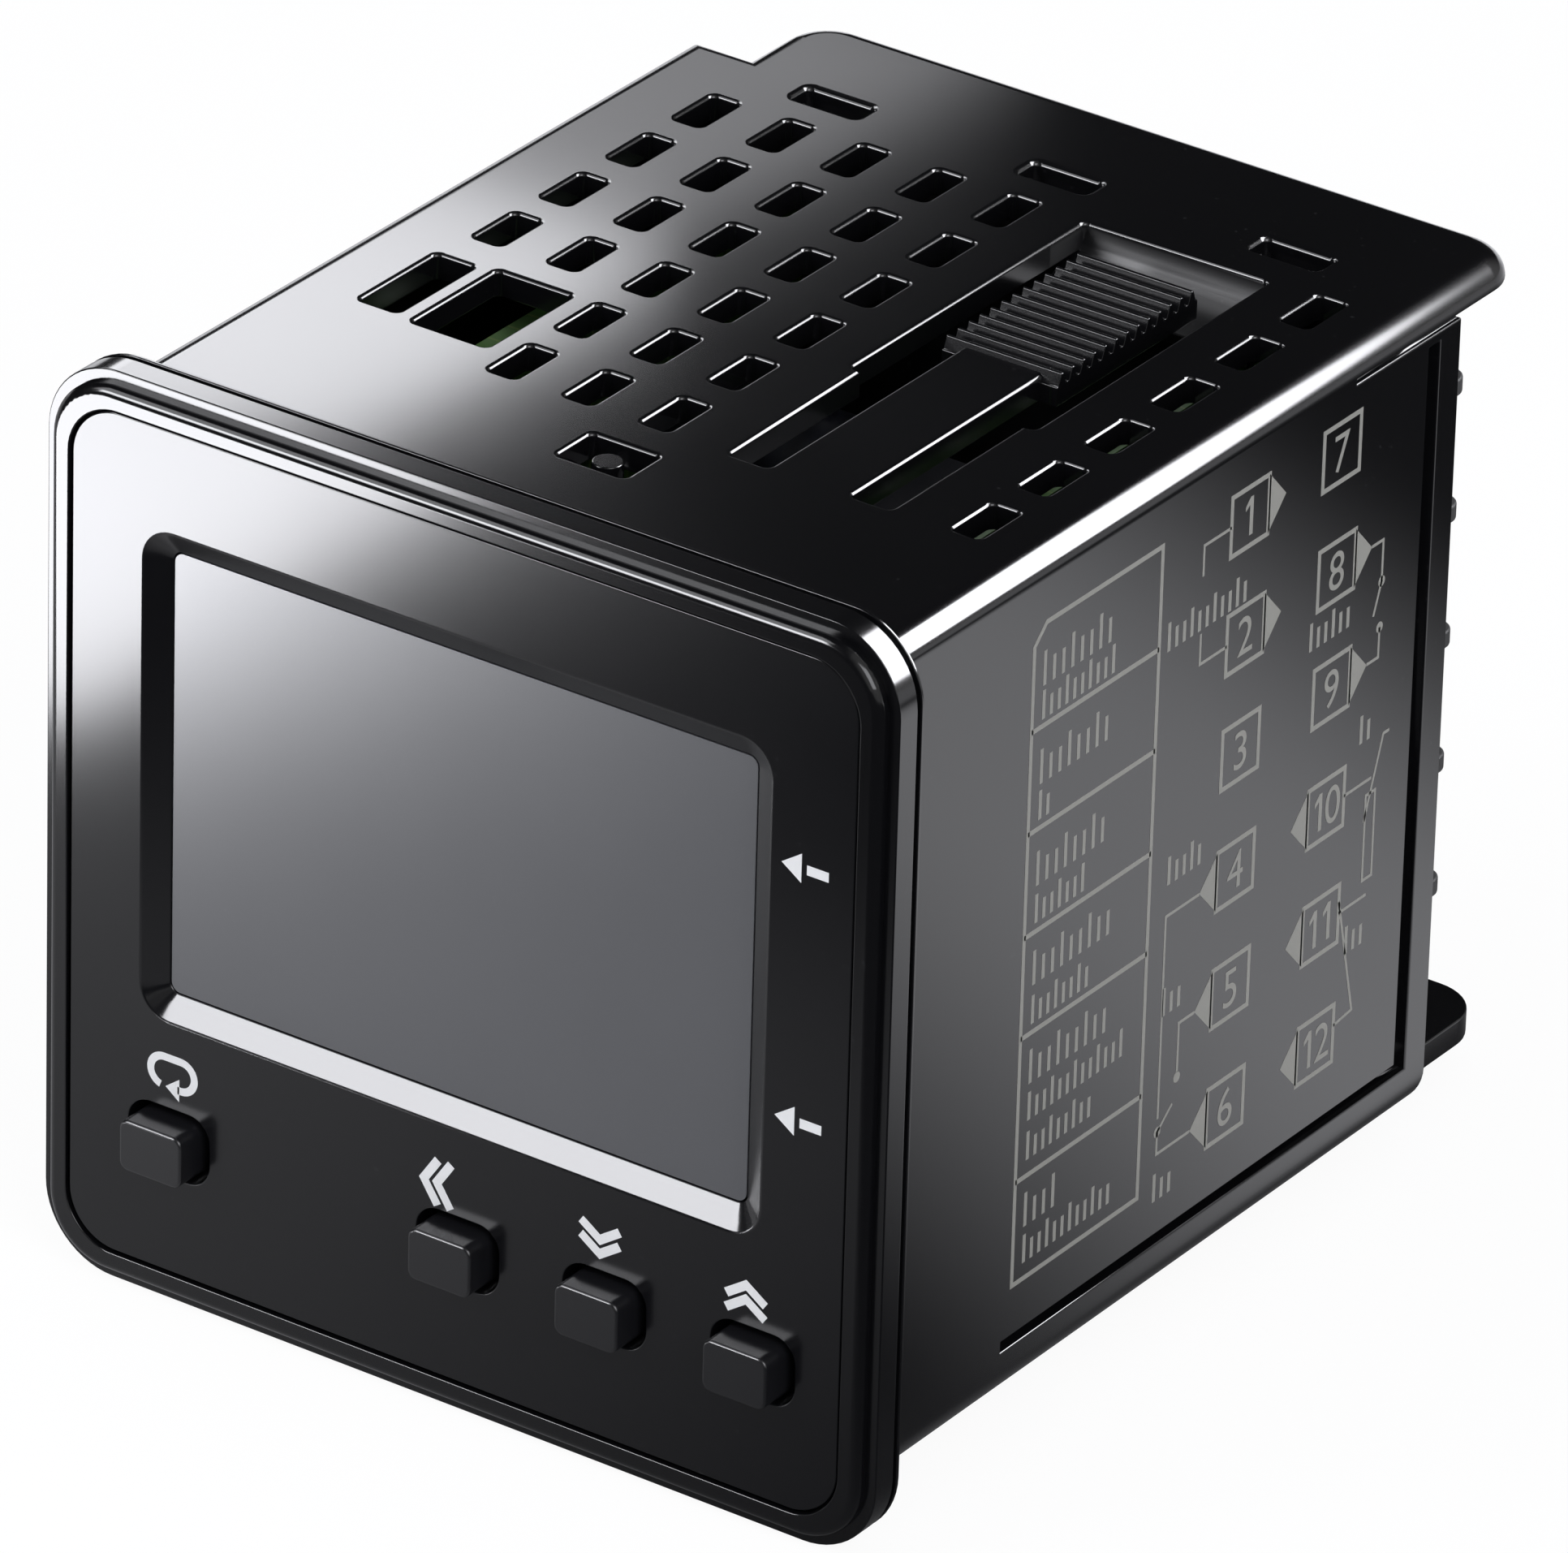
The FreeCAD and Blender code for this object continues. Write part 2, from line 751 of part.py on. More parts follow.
def make_case():
    body = new_body("case")
    case_rolled_edge(body, case_outside(body))
    case_hollow(body)
    case_side_lines(body)
    case_tongue(body)
    case_ribs(body)
    case_bowl(body)
    case_latch_slots(body)
    case_vents(body)
    case_floor_vents(body)
    return body


# ---- bezel ----

panel_front = "panel_recess - bezel_depth"
panel_rear = "panel_recess + panel_thick - bezel_depth"


def bezel_front(body):
    """The outer band, the rounded rim in front of it and the rebate for the facia."""
    band = new_sketch(body, "XZ_Plane", "band_sketch")
    centred(band, "bezel_width", "bezel_height", "bezel_corner")
    pad(body, band, "band_depth", "band")
    rim = new_sketch(body, "XZ_Plane", "rim_sketch")
    centred(
        rim,
        "bezel_width - 2 * rim_inset",
        "bezel_height - 2 * rim_inset",
        "bezel_corner - rim_inset",
    )
    rim_pad = pad(body, rim, "bezel_depth", "rim")
    doc.recompute()
    fillet(body, rim_pad, [front_face(rim_pad.Shape)], "rim_round", "rim_rolled")
    rebate = new_sketch(body, "XZ_Plane", "rebate_sketch", "bezel_depth")
    inset = "rim_inset + rim_width"
    centred(
        rebate,
        f"bezel_width - 2 * ({inset})",
        f"bezel_height - 2 * ({inset})",
        f"bezel_corner - ({inset}) + rim_width / 2",
    )
    pocket(body, rebate, "rebate", "panel_recess + panel_thick")
    seam = new_sketch(body, "XZ_Plane", "seam_sketch", "flange_edge + seam_width")
    centred(seam, "bezel_width * 1.1", "bezel_height * 1.1", "bezel_corner")
    centred(
        seam,
        "bezel_width - 2 * seam_deep",
        "bezel_height - 2 * seam_deep",
        "bezel_corner - seam_deep",
    )
    pocket(body, seam, "seam", "seam_width")


def bezel_skirt(body):
    """The recess that the case sits in, the skirt inside the case and the opening."""
    seat = new_sketch(body, "XZ_Plane", "seat_sketch")
    centred(
        seat,
        "case_width + 2 * seat_gap",
        "case_height + 2 * seat_gap",
        "case_corner_inside",
    )
    pocket(body, seat, "case_seat", "seat_deep", back=True)
    skirt = new_sketch(body, "XZ_Plane", "skirt_sketch", "seat_deep")
    centred(skirt, "skirt_width", "skirt_height", "case_corner_inside")
    pad(body, skirt, "skirt_length + seat_deep", "skirt", back=True)
    opening = new_sketch(body, "XZ_Plane", "opening_sketch", "bezel_depth")
    centred(
        opening,
        "skirt_width - 2 * skirt_wall",
        "skirt_height - 2 * skirt_wall",
        "case_corner_inside",
    )
    pocket(body, opening, "opening")


def bezel_latches(body):
    """Two snap tongues with round studs that spring into the slots of the case."""
    inner = "skirt_height / 2 - skirt_wall"
    tab = new_sketch(body, "XY_Plane", "latch_sketch", inner)
    half = "latch_width / 2"
    outline(
        tab,
        [
            (f"vent_centre - {half}", "skirt_length - skirt_wall"),
            (f"vent_centre + {half}", "skirt_length - skirt_wall"),
            (f"vent_centre + {half}", "skirt_length + latch_length"),
            (f"vent_centre - {half}", "skirt_length + latch_length"),
        ],
    )
    tab_pad = pad(body, tab, "skirt_wall", "latch_tab")
    stud = new_sketch(body, "XY_Plane", "stud_sketch", "skirt_height / 2")
    ring(stud, "vent_centre", "latch_place", "latch_radius")
    stud_pad = pad(body, stud, "latch_rise", "latch_stud")
    mirrored(body, [tab_pad, stud_pad], "latch_below", "XY_Plane")


def make_bezel():
    body = new_body("bezel")
    bezel_front(body)
    bezel_skirt(body)
    bezel_latches(body)
    return body


# ---- facia panel ----


def make_front_panel():
    """The facia: a flat plate with a bevelled window and four key holes."""
    body = new_body("front_panel")
    inset = "rim_inset + rim_width + panel_gap"
    plate = new_sketch(body, "XZ_Plane", "plate_sketch", f"-({panel_rear})")
    centred(
        plate,
        f"bezel_width - 2 * ({inset})",
        f"bezel_height - 2 * ({inset})",
        f"bezel_corner - ({inset}) + rim_width / 2",
    )
    pad(body, plate, "panel_thick", "plate")
    window = new_sketch(body, "XZ_Plane", "window_sketch", f"-({panel_front})")
    frame = ("window_left", "window_right", "window_bottom", "window_top")
    rounded(window, *frame, "window_corner")
    pocket(body, window, "window")
    wide = new_sketch(body, "XZ_Plane", "bevel_front_sketch", f"-({panel_front})")
    rounded(
        wide,
        "window_left - bevel_width",
        "window_right + bevel_width",
        "window_bottom - bevel_width",
        "window_top + bevel_width",
        "window_corner + bevel_width",
    )
    deep = new_sketch(body, "XZ_Plane", "bevel_rear_sketch", f"-({panel_front}) - bevel_deep")
    rounded(deep, *frame, "window_corner")
    bevel = body.newObject("PartDesign::SubtractiveLoft", "bevel")
    bevel.Profile = wide
    bevel.Sections = [deep]
    bevel.Ruled = True
    hole = new_sketch(body, "XZ_Plane", "key_hole_sketch", f"-({panel_front})")
    size = ("key_hole_width", "key_hole_height", "key_hole_corner")
    centred(hole, *size, "key_right - 2 * key_pitch", "key_level")
    three = pocket(body, hole, "key_hole")
    line_of(body, [three], "key_holes", "X_Axis", "key_pitch", 3)
    lone = new_sketch(body, "XZ_Plane", "lone_hole_sketch", f"-({panel_front})")
    centred(lone, *size, "key_right - 4 * key_pitch", "key_level")
    pocket(body, lone, "lone_hole")
    return body


# ---- display stack ----

lens_front = f"{panel_front} + bevel_deep"
lens_rear = f"{panel_rear} + lens_flange_thick"


def make_window_lens():
    """The clear pane: a boss that fills the window and a flange behind the facia."""
    body = new_body("window_lens")
    boss = new_sketch(body, "XZ_Plane", "lens_boss_sketch", f"-({panel_rear})")
    rounded(
        boss,
        "window_left + lens_gap",
        "window_right - lens_gap",
        "window_bottom + lens_gap",
        "window_top - lens_gap",
        "window_corner",
    )
    pad(body, boss, "panel_thick - bevel_deep", "lens_boss")
    flange = new_sketch(body, "XZ_Plane", "lens_flange_sketch", f"-({panel_rear})")
    rounded(
        flange,
        "window_left - lens_flange",
        "window_right + lens_flange",
        "window_bottom - lens_flange",
        "window_top + lens_flange",
        "window_corner",
    )
    pad(body, flange, "lens_flange_thick", "lens_flange_pad", back=True)
    return body


def display_layer(name, inset, front, rear):
    """A flat layer of the display, a little smaller than the flange of the lens."""
    return block(
        name,
        (
            f"window_left - lens_flange + {inset}",
            front,
            f"window_bottom - lens_flange + {inset}",
        ),
        (
            f"window_right + lens_flange - {inset}",
            rear,
            f"window_top + lens_flange - {inset}",
        ),
    )


def make_display():
    glass_rear = f"{lens_rear} + glass_thick"
    display_layer("lcd_glass", "glass_inset", lens_rear, glass_rear)
    display_layer("backlight", "light_inset", glass_rear, "skirt_length")
    block(
        "display_board",
        ("-display_board_width / 2", "skirt_length", "-display_board_height / 2"),
        (
            "display_board_width / 2",
            "skirt_length + board_thick",
            "display_board_height / 2",
        ),
    )
    block(
        "controller_chip",
        ("-chip_side / 2", "skirt_length + board_thick", "-chip_side / 2"),
        ("chip_side / 2", "skirt_length + board_thick + chip_thick", "chip_side / 2"),
    )


# ---- keys and their switches ----

key_front = f"{panel_front} - key_rise"
lug_front = f"{panel_rear} + lug_gap"
key_rear = f"{lug_front} + lug_thick"
stem_end = f"{key_rear} + stem_length"
switch_front = f"{stem_end} + key_travel + switch_gap"


def make_key(name, column):
    """One key: a rounded cap, two lugs behind the facia and a round stem."""
    x = f"key_right - {column} * key_pitch"
    body = new_body(f"{name}_key")
    cap = new_sketch(body, "XZ_Plane", f"{name}_cap_sketch", f"-({key_rear})")
    centred(cap, "key_width", "key_height", "key_corner", x, "key_level")
    cap_pad = pad(body, cap, f"({key_rear}) - ({key_front})", f"{name}_cap")
    doc.recompute()
    fillet(body, cap_pad, [front_face(cap_pad.Shape)], "key_round", f"{name}_cap_round")
    lug = new_sketch(body, "XZ_Plane", f"{name}_lug_sketch", f"-({key_rear})")
    centred(lug, "key_width", "lug_height", "key_corner", x, "key_level")
    pad(body, lug, "lug_thick", f"{name}_lug")
    stem = new_sketch(body, "XZ_Plane", f"{name}_stem_sketch", f"-({key_rear})")
    ring(stem, x, "key_level", "stem_radius")
    pad(body, stem, "stem_length", f"{name}_stem", back=True)
    return body


def make_switch(name, column):
    """A push switch on the display board and the plunger that the key rests on."""
    x = f"key_right - {column} * key_pitch"
    rod(f"{name}_plunger", "y", "plunger_radius", "plunger_length", x, stem_end, "key_level")
    half = "switch_side / 2"
    housing = block(
        f"{name}_switch_housing",
        (f"{x} - {half}", switch_front, f"key_level - {half}"),
        (f"{x} + {half}", "skirt_length", f"key_level + {half}"),
    )
    bore = rod(
        f"{name}_switch_bore",
        "y",
        "plunger_radius + plunger_gap",
        f"{stem_end} + plunger_length + key_travel + switch_gap - ({switch_front})",
        x,
        switch_front,
        "key_level",
    )
    cut(f"{name}_switch", housing, bore)


# ---- boards that run front to back, and what they carry ----

board_start = "skirt_length + board_thick + board_gap"
board_end = "block_front - tail_gap"


def side_board(name, side):
    """A board that stands on edge, its inner face towards the middle."""
    inner = "side_board_place"
    outer = "side_board_place + board_thick"
    low, high = (inner, outer) if side > 0 else (f"-({outer})", f"-{inner}")
    half = "side_board_height / 2"
    block(name, (low, board_start, f"-{half}"), (high, board_end, half))


def on_board(side, rise):
    """The two X formulas of a part that stands off the inner face of a side board."""
    inner, tip = "side_board_place", f"side_board_place - ({rise})"
    return (tip, inner) if side > 0 else (f"-{inner}", f"-({tip})")


def make_headers():
    start = "skirt_length + board_thick"
    for name, side in (("power_header", -1), ("input_header", 1)):
        low, high = on_board(side, "header_width")
        half = "header_height / 2"
        block(name, (low, start, f"-{half}"), (high, f"{start} + header_length", half))


def make_transformer():
    low, high = on_board(-1, "winding_rise")
    half_y, half_z = "winding_length / 2", "winding_height / 2"
    y, z = "transformer_place", "transformer_level"
    block(
        "transformer_winding",
        (low, f"{y} - {half_y}", f"{z} - {half_z}"),
        (high, f"{y} + {half_y}", f"{z} + {half_z}"),
    )
    core_low = f"{low} + core_lift"
    core_high = f"{low} + core_lift + core_thick"
    frame = block(
        "core_frame",
        (core_low, f"{y} - {half_y} - core_leg", f"{z} - {half_z} - core_leg"),
        (core_high, f"{y} + {half_y} + core_leg", f"{z} + {half_z} + core_leg"),
    )
    middle = block(
        "core_window",
        (core_low, f"{y} - {half_y}", f"{z} - {half_z}"),
        (core_high, f"{y} + {half_y}", f"{z} + {half_z}"),
    )
    cut("transformer_core", frame, middle)


def make_relays():
    low, high = on_board(1, "relay_rise")
    for name in ("output_relay", "alarm_relay"):
        level = f"{name}_level"
        block(
            name,
            (low, "relay_place", level),
            (high, "relay_place + relay_length", f"{level} + relay_height"),
        )


def make_capacitors():
    for name in ("filter", "supply"):
        rod(
            f"{name}_capacitor",
            "x",
            f"{name}_radius",
            f"{name}_length",
            "-side_board_place",
            "capacitor_place",
            f"{name}_level",
        )


# ---- terminal block, plates and screws ----


def terminal_z(row):
    return f"terminal_level + terminal_pitch * ({row} - 2.5)"


def each_terminal():
    """Names and places of the twelve terminals, two columns of six."""
    for side in (-1, 1):
        for row in range(rows_of_terminals):
            yield f"{'right' if side > 0 else 'left'}_{row + 1}", side, row


def tail_range(side, gap="0"):
    """The X formulas of a tail, which lies on the inner face of its side board."""
    low, high = "side_board_place - tail_width", "side_board_place"
    if side > 0:
        return f"{low} - ({gap})", f"{high} + ({gap})"
    return f"-({high}) - ({gap})", f"-({low}) + ({gap})"


def block_barriers(body):
    """A comb of barriers between the terminals of each column, on one upright spine."""
    comb = new_sketch(body, "XZ_Plane", "barrier_sketch", "-block_rear")
    half = "barrier_thick / 2"
    top = "case_height / 2 - case_wall - block_gap"
    points = [("barrier_root - spine_width", top), ("barrier_root - spine_width", f"-({top})")]
    points += [("barrier_root", f"-({top})")]
    for row in range(rows_of_terminals - 1):
        level = terminal_z(row + 0.5)
        points += [("barrier_root", f"{level} - {half}"), ("barrier_reach", f"{level} - {half}")]
        points += [("barrier_reach", f"{level} + {half}"), ("barrier_root", f"{level} + {half}")]
    points += [("barrier_root", top)]
    outline(comb, points)
    comb_pad = pad(body, comb, "barrier_end - block_rear", "barriers", back=True)
    both = mirrored(body, [comb_pad], "barriers_left", "YZ_Plane")
    doc.recompute()
    reach, end = number("barrier_reach"), number("barrier_end")

    def is_end(box):
        outside = near(abs(box.Center.x), reach) and near(box.XLength, 0)
        return outside and near(box.YMin, end) and near(box.YMax, end)

    edges = edges_where(both.Shape, is_end)
    fillet(body, both, edges, "barrier_round", "barrier_ends")


def make_terminal_block():
    """The rear moulding: a plate that closes the case, barriers, and holes for the metal."""
    body = new_body("terminal_moulding")
    plate = new_sketch(body, "XZ_Plane", "block_sketch", "-block_rear")
    centred(
        plate,
        "case_width - 2 * case_wall - 2 * block_gap",
        "case_height - 2 * case_wall - 2 * block_gap",
        "case_corner_inside",
    )
    pad(body, plate, "block_rear - block_front", "block_plate")
    for side in (1, -1):
        hole = new_sketch(body, "XZ_Plane", f"screw_hole_sketch_{side + 1}", "-block_rear")
        ring(hole, f"({side}) * terminal_column", terminal_z(0), "screw_radius + screw_gap")
        drilled = pocket(
            body, hole, f"screw_hole_{side + 1}", "screw_length + screw_gap - plate_thick", True
        )
        slit = new_sketch(body, "XZ_Plane", f"tail_slit_sketch_{side + 1}", "-block_rear")
        low, high = tail_range(side, "tail_gap")
        half = "tail_width / 2 + tail_gap"
        z = terminal_z(0)
        outline(
            slit,
            [
                (low, f"{z} - ({half})"),
                (high, f"{z} - ({half})"),
                (high, f"{z} + ({half})"),
                (low, f"{z} + ({half})"),
            ],
        )
        slitted = pocket(body, slit, f"tail_slit_{side + 1}", back=True)
        line_of(
            body,
            [drilled, slitted],
            f"terminal_holes_{side + 1}",
            "Z_Axis",
            "terminal_pitch",
            rows_of_terminals,
        )
    block_barriers(body)
    body.Label = "terminal_block"
    return body


def make_terminal_plates():
    """Twelve metal plates, each with a screw hole and a tail that reaches its board."""
    plates = []
    for name, side, row in each_terminal():
        x, z = f"({side}) * terminal_column", terminal_z(row)
        face = block(
            f"plate_face_{name}",
            (f"{x} - plate_width / 2", "block_rear", f"{z} - plate_height / 2"),
            (
                f"{x} + plate_width / 2",
                "block_rear + plate_thick",
                f"{z} + plate_height / 2",
            ),
        )
        low, high = tail_range(side)
        tail = block(
            f"plate_tail_{name}",
            (low, "block_rear - tail_length", f"{z} - tail_width / 2"),
            (high, "block_rear", f"{z} + tail_width / 2"),
        )
        hole = rod(
            f"plate_hole_{name}", "y", "screw_radius + screw_gap", "plate_thick", x, "block_rear", z
        )
        plates.append(joined(f"plate_{name}", [cut(f"plate_drilled_{name}", face, hole), tail]))
    grouped("terminal_plates", plates)


def make_terminal_screws():
    """Twelve slotted pan-head screws that clamp the wires."""
    screws = []
    for name, side, row in each_terminal():
        x, z = f"({side}) * terminal_column", terminal_z(row)
        seat = "block_rear + plate_thick"
        head = rod(
            f"screw_head_{name}", "y", "screw_head_radius", "screw_head_height", x, seat, z
        )
        shank = rod(
            f"screw_shank_{name}",
            "y",
            "screw_radius",
            "screw_length",
            x,
            f"{seat} - screw_length",
            z,
        )
        groove = block(
            f"screw_groove_{name}",
            (
                f"{x} - screw_head_radius",
                f"{seat} + screw_head_height - screw_slot_deep",
                f"{z} - screw_slot_width / 2",
            ),
            (
                f"{x} + screw_head_radius",
                f"{seat} + screw_head_height",
                f"{z} + screw_slot_width / 2",
            ),
        )
        solid = joined(f"screw_solid_{name}", [head, shank])
        screws.append(cut(f"screw_{name}", solid, groove))
    grouped("terminal_screws", screws)


# ---- the whole controller ----

keys = {"loop": 4, "shift": 2, "down": 1, "up": 0}


def make_all():
    make_case()
    make_bezel()
    make_front_panel()
    make_window_lens()
    make_display()
    for name, column in keys.items():
        make_key(name, column)
        make_switch(name, column)
    side_board("power_board", -1)
    side_board("input_board", 1)
    make_headers()
    make_transformer()
    make_relays()
    make_capacitors()
    make_terminal_block()
    make_terminal_plates()
    make_terminal_screws()


node_names = ["case", "bezel", "front_panel", "window_lens", "lcd_glass", "backlight"]
node_names += ["display_board", "controller_chip"]
for key in keys:
    node_names += [f"{key}_key", f"{key}_plunger", f"{key}_switch"]
node_names += ["power_board", "input_board", "power_header", "input_header"]
node_names += ["transformer_winding", "transformer_core", "output_relay", "alarm_relay"]
node_names += ["filter_capacitor", "supply_capacitor"]
node_names += ["terminal_block", "terminal_plates", "terminal_screws"]


def check_and_write():
    """Stop on any failed object, then write one STEP file for each sub-part."""
    for item in doc.Objects:
        if "Invalid" in item.State or "Error" in item.State:
            raise RuntimeError(f"{item.Name} did not compute: {item.getStatusString()}")
    os.makedirs("parts", exist_ok=True)
    for name in node_names:
        item = next(each for each in doc.Objects if each.Label == name)
        shape = item.Shape
        if shape.isNull() or not shape.isValid() or not shape.Solids:
            raise RuntimeError(f"{name} has no valid solid")
        shape.exportStep(f"parts/{name}.step")
        print(f"{name}: {len(shape.Solids)} solid(s), {shape.Volume:.1f} mm3")


make_all()
doc.recompute()
check_and_write()
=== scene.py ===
import math
import bmesh
import bpy
import numpy as np
from mathutils import Matrix, Vector


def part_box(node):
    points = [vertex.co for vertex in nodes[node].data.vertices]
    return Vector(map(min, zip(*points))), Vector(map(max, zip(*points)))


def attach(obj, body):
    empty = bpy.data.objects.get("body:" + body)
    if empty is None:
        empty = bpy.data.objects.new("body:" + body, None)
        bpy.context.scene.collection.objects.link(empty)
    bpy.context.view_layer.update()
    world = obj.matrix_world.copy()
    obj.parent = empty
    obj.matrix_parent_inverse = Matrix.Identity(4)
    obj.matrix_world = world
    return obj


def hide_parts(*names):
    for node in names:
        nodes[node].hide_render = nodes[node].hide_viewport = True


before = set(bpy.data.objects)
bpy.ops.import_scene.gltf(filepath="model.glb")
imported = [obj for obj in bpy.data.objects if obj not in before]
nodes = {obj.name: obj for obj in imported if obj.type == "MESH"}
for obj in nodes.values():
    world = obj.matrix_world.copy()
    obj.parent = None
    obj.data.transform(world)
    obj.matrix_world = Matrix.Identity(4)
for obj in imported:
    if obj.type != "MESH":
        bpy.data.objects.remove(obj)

scene = bpy.context.scene
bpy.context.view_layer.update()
mm = 0.001
keyNames = ("loop", "shift", "down", "up")
print("frame loaded:", len(nodes), "nodes")


def addMesh(name, verts, faces):
    # puts computed vertices and faces into a new object at the origin
    mesh = bpy.data.meshes.new(name)
    mesh.from_pydata(np.asarray(verts, float).tolist(), [], faces)
    mesh.update()
    obj = bpy.data.objects.new(name, mesh)
    scene.collection.objects.link(obj)
    return obj


def merged(name, parts):
    # one object from several (vertices, faces) pairs
    verts, faces, start = [], [], 0
    for points, polygons in parts:
        verts.append(points)
        faces += [tuple(start + i for i in polygon) for polygon in polygons]
        start += len(points)
    return addMesh(name, np.concatenate(verts), faces)


def strokeBand(path, width, closed):
    # left and right edges of a stroke: each point moves along the mitre of its two runs
    path = np.asarray(path, float)
    ahead = np.roll(path, -1, 0) - path
    behind = path - np.roll(path, 1, 0)
    if not closed:
        ahead[-1] = behind[-1]
        behind[0] = ahead[0]
    ahead /= np.linalg.norm(ahead, axis=1)[:, None]
    behind /= np.linalg.norm(behind, axis=1)[:, None]
    normalA = np.stack([-ahead[:, 1], ahead[:, 0]], 1)
    normalB = np.stack([-behind[:, 1], behind[:, 0]], 1)
    mitre = normalA + normalB
    mitre /= (mitre * normalA).sum(1)[:, None]
    return path + mitre * width / 2, path - mitre * width / 2


def stroke(path, width, lift, closed=False):
    # a flat line of ink: the band between its two edges, closed below by the same band
    left, right = strokeBand(path, width, closed)
    count = len(left)
    flat = np.concatenate([left, right])
    low = np.column_stack([flat, np.zeros(2 * count)])
    high = np.column_stack([flat, np.full(2 * count, lift)])
    here = np.arange(count if closed else count - 1)
    there = (here + 1) % count
    a, b, c, d, up = here, there, there + count, here + count, 2 * count
    quads = [[a + up, d + up, c + up, b + up], [a, b, c, d], [a, a + up, b + up, b], [d, c, c + up, d + up]]
    faces = np.array(quads).transpose(2, 0, 1).reshape(-1, 4).tolist()
    if not closed:
        for end, turn in ((0, 1), (count - 1, -1)):
            ring = [end, end + count, end + 3 * count, end + 2 * count]
            faces.append(ring[::turn])
    return np.concatenate([low, high]), faces


def patch(outline, lift):
    # a flat field of ink: its outline turned counterclockwise, raised by the lift and closed below
    flat = np.asarray(outline, float)
    after = np.roll(flat, -1, 0)
    if (flat[:, 0] * after[:, 1] - flat[:, 1] * after[:, 0]).sum() < 0:
        flat = flat[::-1]
    count = len(flat)
    low = np.column_stack([flat, np.zeros(count)])
    high = np.column_stack([flat, np.full(count, lift)])
    faces = [tuple(range(count, 2 * count)), tuple(range(count - 1, -1, -1))]
    faces += [(i, (i + 1) % count, (i + 1) % count + count, i + count) for i in range(count)]
    return np.concatenate([low, high]), faces


def bar(u0, v0, u1, v1, lift):
    # a field between two corners
    return patch([(u0, v0), (u1, v0), (u1, v1), (u0, v1)], lift)


def disc(u, v, radius, lift):
    # a dot: a circle of twenty points round its centre
    turn = np.linspace(0, 2 * np.pi, 20, endpoint=False)
    return patch(np.stack([u + radius * np.cos(turn), v + radius * np.sin(turn)], 1), lift)


# in shares of a digit's height: the outline of the one, a capital's height in the font, the step to the next
digitLook = {
    "one": ((-0.02, -0.5), (0.12, -0.5), (0.12, 0.5), (0.0, 0.5), (-0.2, 0.3), (-0.2, 0.18), (-0.02, 0.3)),
    "capital": 0.7, "step": 0.58,
}


def glyph(digit, u, v, height, lift):
    # one plain digit centred on a point; the one is a bar with a short flag
    if digit == "1":
        return patch([(u + x * height, v + y * height) for x, y in digitLook["one"]], lift)
    curve = bpy.data.curves.new("numeral", "FONT")
    curve.body = digit
    curve.size = height / digitLook["capital"]
    holder = bpy.data.objects.new("numeral", curve)
    mesh = bpy.data.meshes.new_from_object(holder)
    points = np.empty(3 * len(mesh.vertices))
    mesh.vertices.foreach_get("co", points)
    points = points.reshape(-1, 3)
    points[:, :2] -= (points[:, :2].max(0) + points[:, :2].min(0)) / 2
    points += [u, v, lift]
    faces = [tuple(polygon.vertices) for polygon in mesh.polygons]
    bpy.data.objects.remove(holder)
    bpy.data.meshes.remove(mesh)
    bpy.data.curves.remove(curve)
    return points, faces


def numeral(text, u, v, height, lift):
    # the digits side by side, centred on a point
    step = height * digitLook["step"]
    start = u - (len(text) - 1) * step / 2
    return [glyph(digit, start + i * step, v, height, lift) for i, digit in enumerate(text)]


def placed(parts, toFrame):
    # ink drawn in (u, v, lift) millimetres laid onto a face of the object, in metres
    turned = []
    for points, faces in parts:
        moved = (np.column_stack([points, np.ones(len(points))]) @ np.array(toFrame).T)[:, :3]
        turned.append((moved * mm, faces))
    return turned


def newGroup(name, inputs, outputs):
    # a shared effect: a point and some numbers go in, and numbers that change over the surface come out
    group = bpy.data.node_groups.new(name, "ShaderNodeTree")
    group.interface.new_socket("Vector", in_out="INPUT", socket_type="NodeSocketVector")
    for label in inputs:
        group.interface.new_socket(label, in_out="INPUT", socket_type="NodeSocketFloat")
    for label in outputs:
        group.interface.new_socket(label, in_out="OUTPUT", socket_type="NodeSocketFloat")
    entry = group.nodes.new("NodeGroupInput")
    leave = group.nodes.new("NodeGroupOutput")
    return group, entry, leave


def link(tree, source, target):
    tree.links.new(source, target)


def math2(tree, operation, first, second, clamp=False):
    # one sum; each side is a number or another node's output
    node = tree.nodes.new("ShaderNodeMath")
    node.operation = operation
    node.use_clamp = clamp
    for socket, value in zip(node.inputs, (first, second)):
        if hasattr(value, "is_output"):
            link(tree, value, socket)
        else:
            socket.default_value = value
    return node.outputs[0]


def noise(tree, vector, scale, detail):
    node = tree.nodes.new("ShaderNodeTexNoise")
    node.inputs["Scale"].default_value = scale
    node.inputs["Detail"].default_value = detail
    link(tree, vector, node.inputs["Vector"])
    return node.outputs[0]


def mixColour(tree, factor, first, second):
    node = tree.nodes.new("ShaderNodeMix")
    node.data_type = "RGBA"
    for socket, value in zip((node.inputs[0], node.inputs[6], node.inputs[7]), (factor, first, second)):
        if hasattr(value, "is_output"):
            link(tree, value, socket)
        else:
            socket.default_value = value
    return node.outputs[2]


def axesOf(tree, output="Object"):
    # the three coordinates of a point, each on a socket of its own
    coordinates = tree.nodes.new("ShaderNodeTexCoord")
    axes = tree.nodes.new("ShaderNodeSeparateXYZ")
    link(tree, coordinates.outputs[output], axes.inputs[0])
    return axes.outputs["X"], axes.outputs["Y"], axes.outputs["Z"]


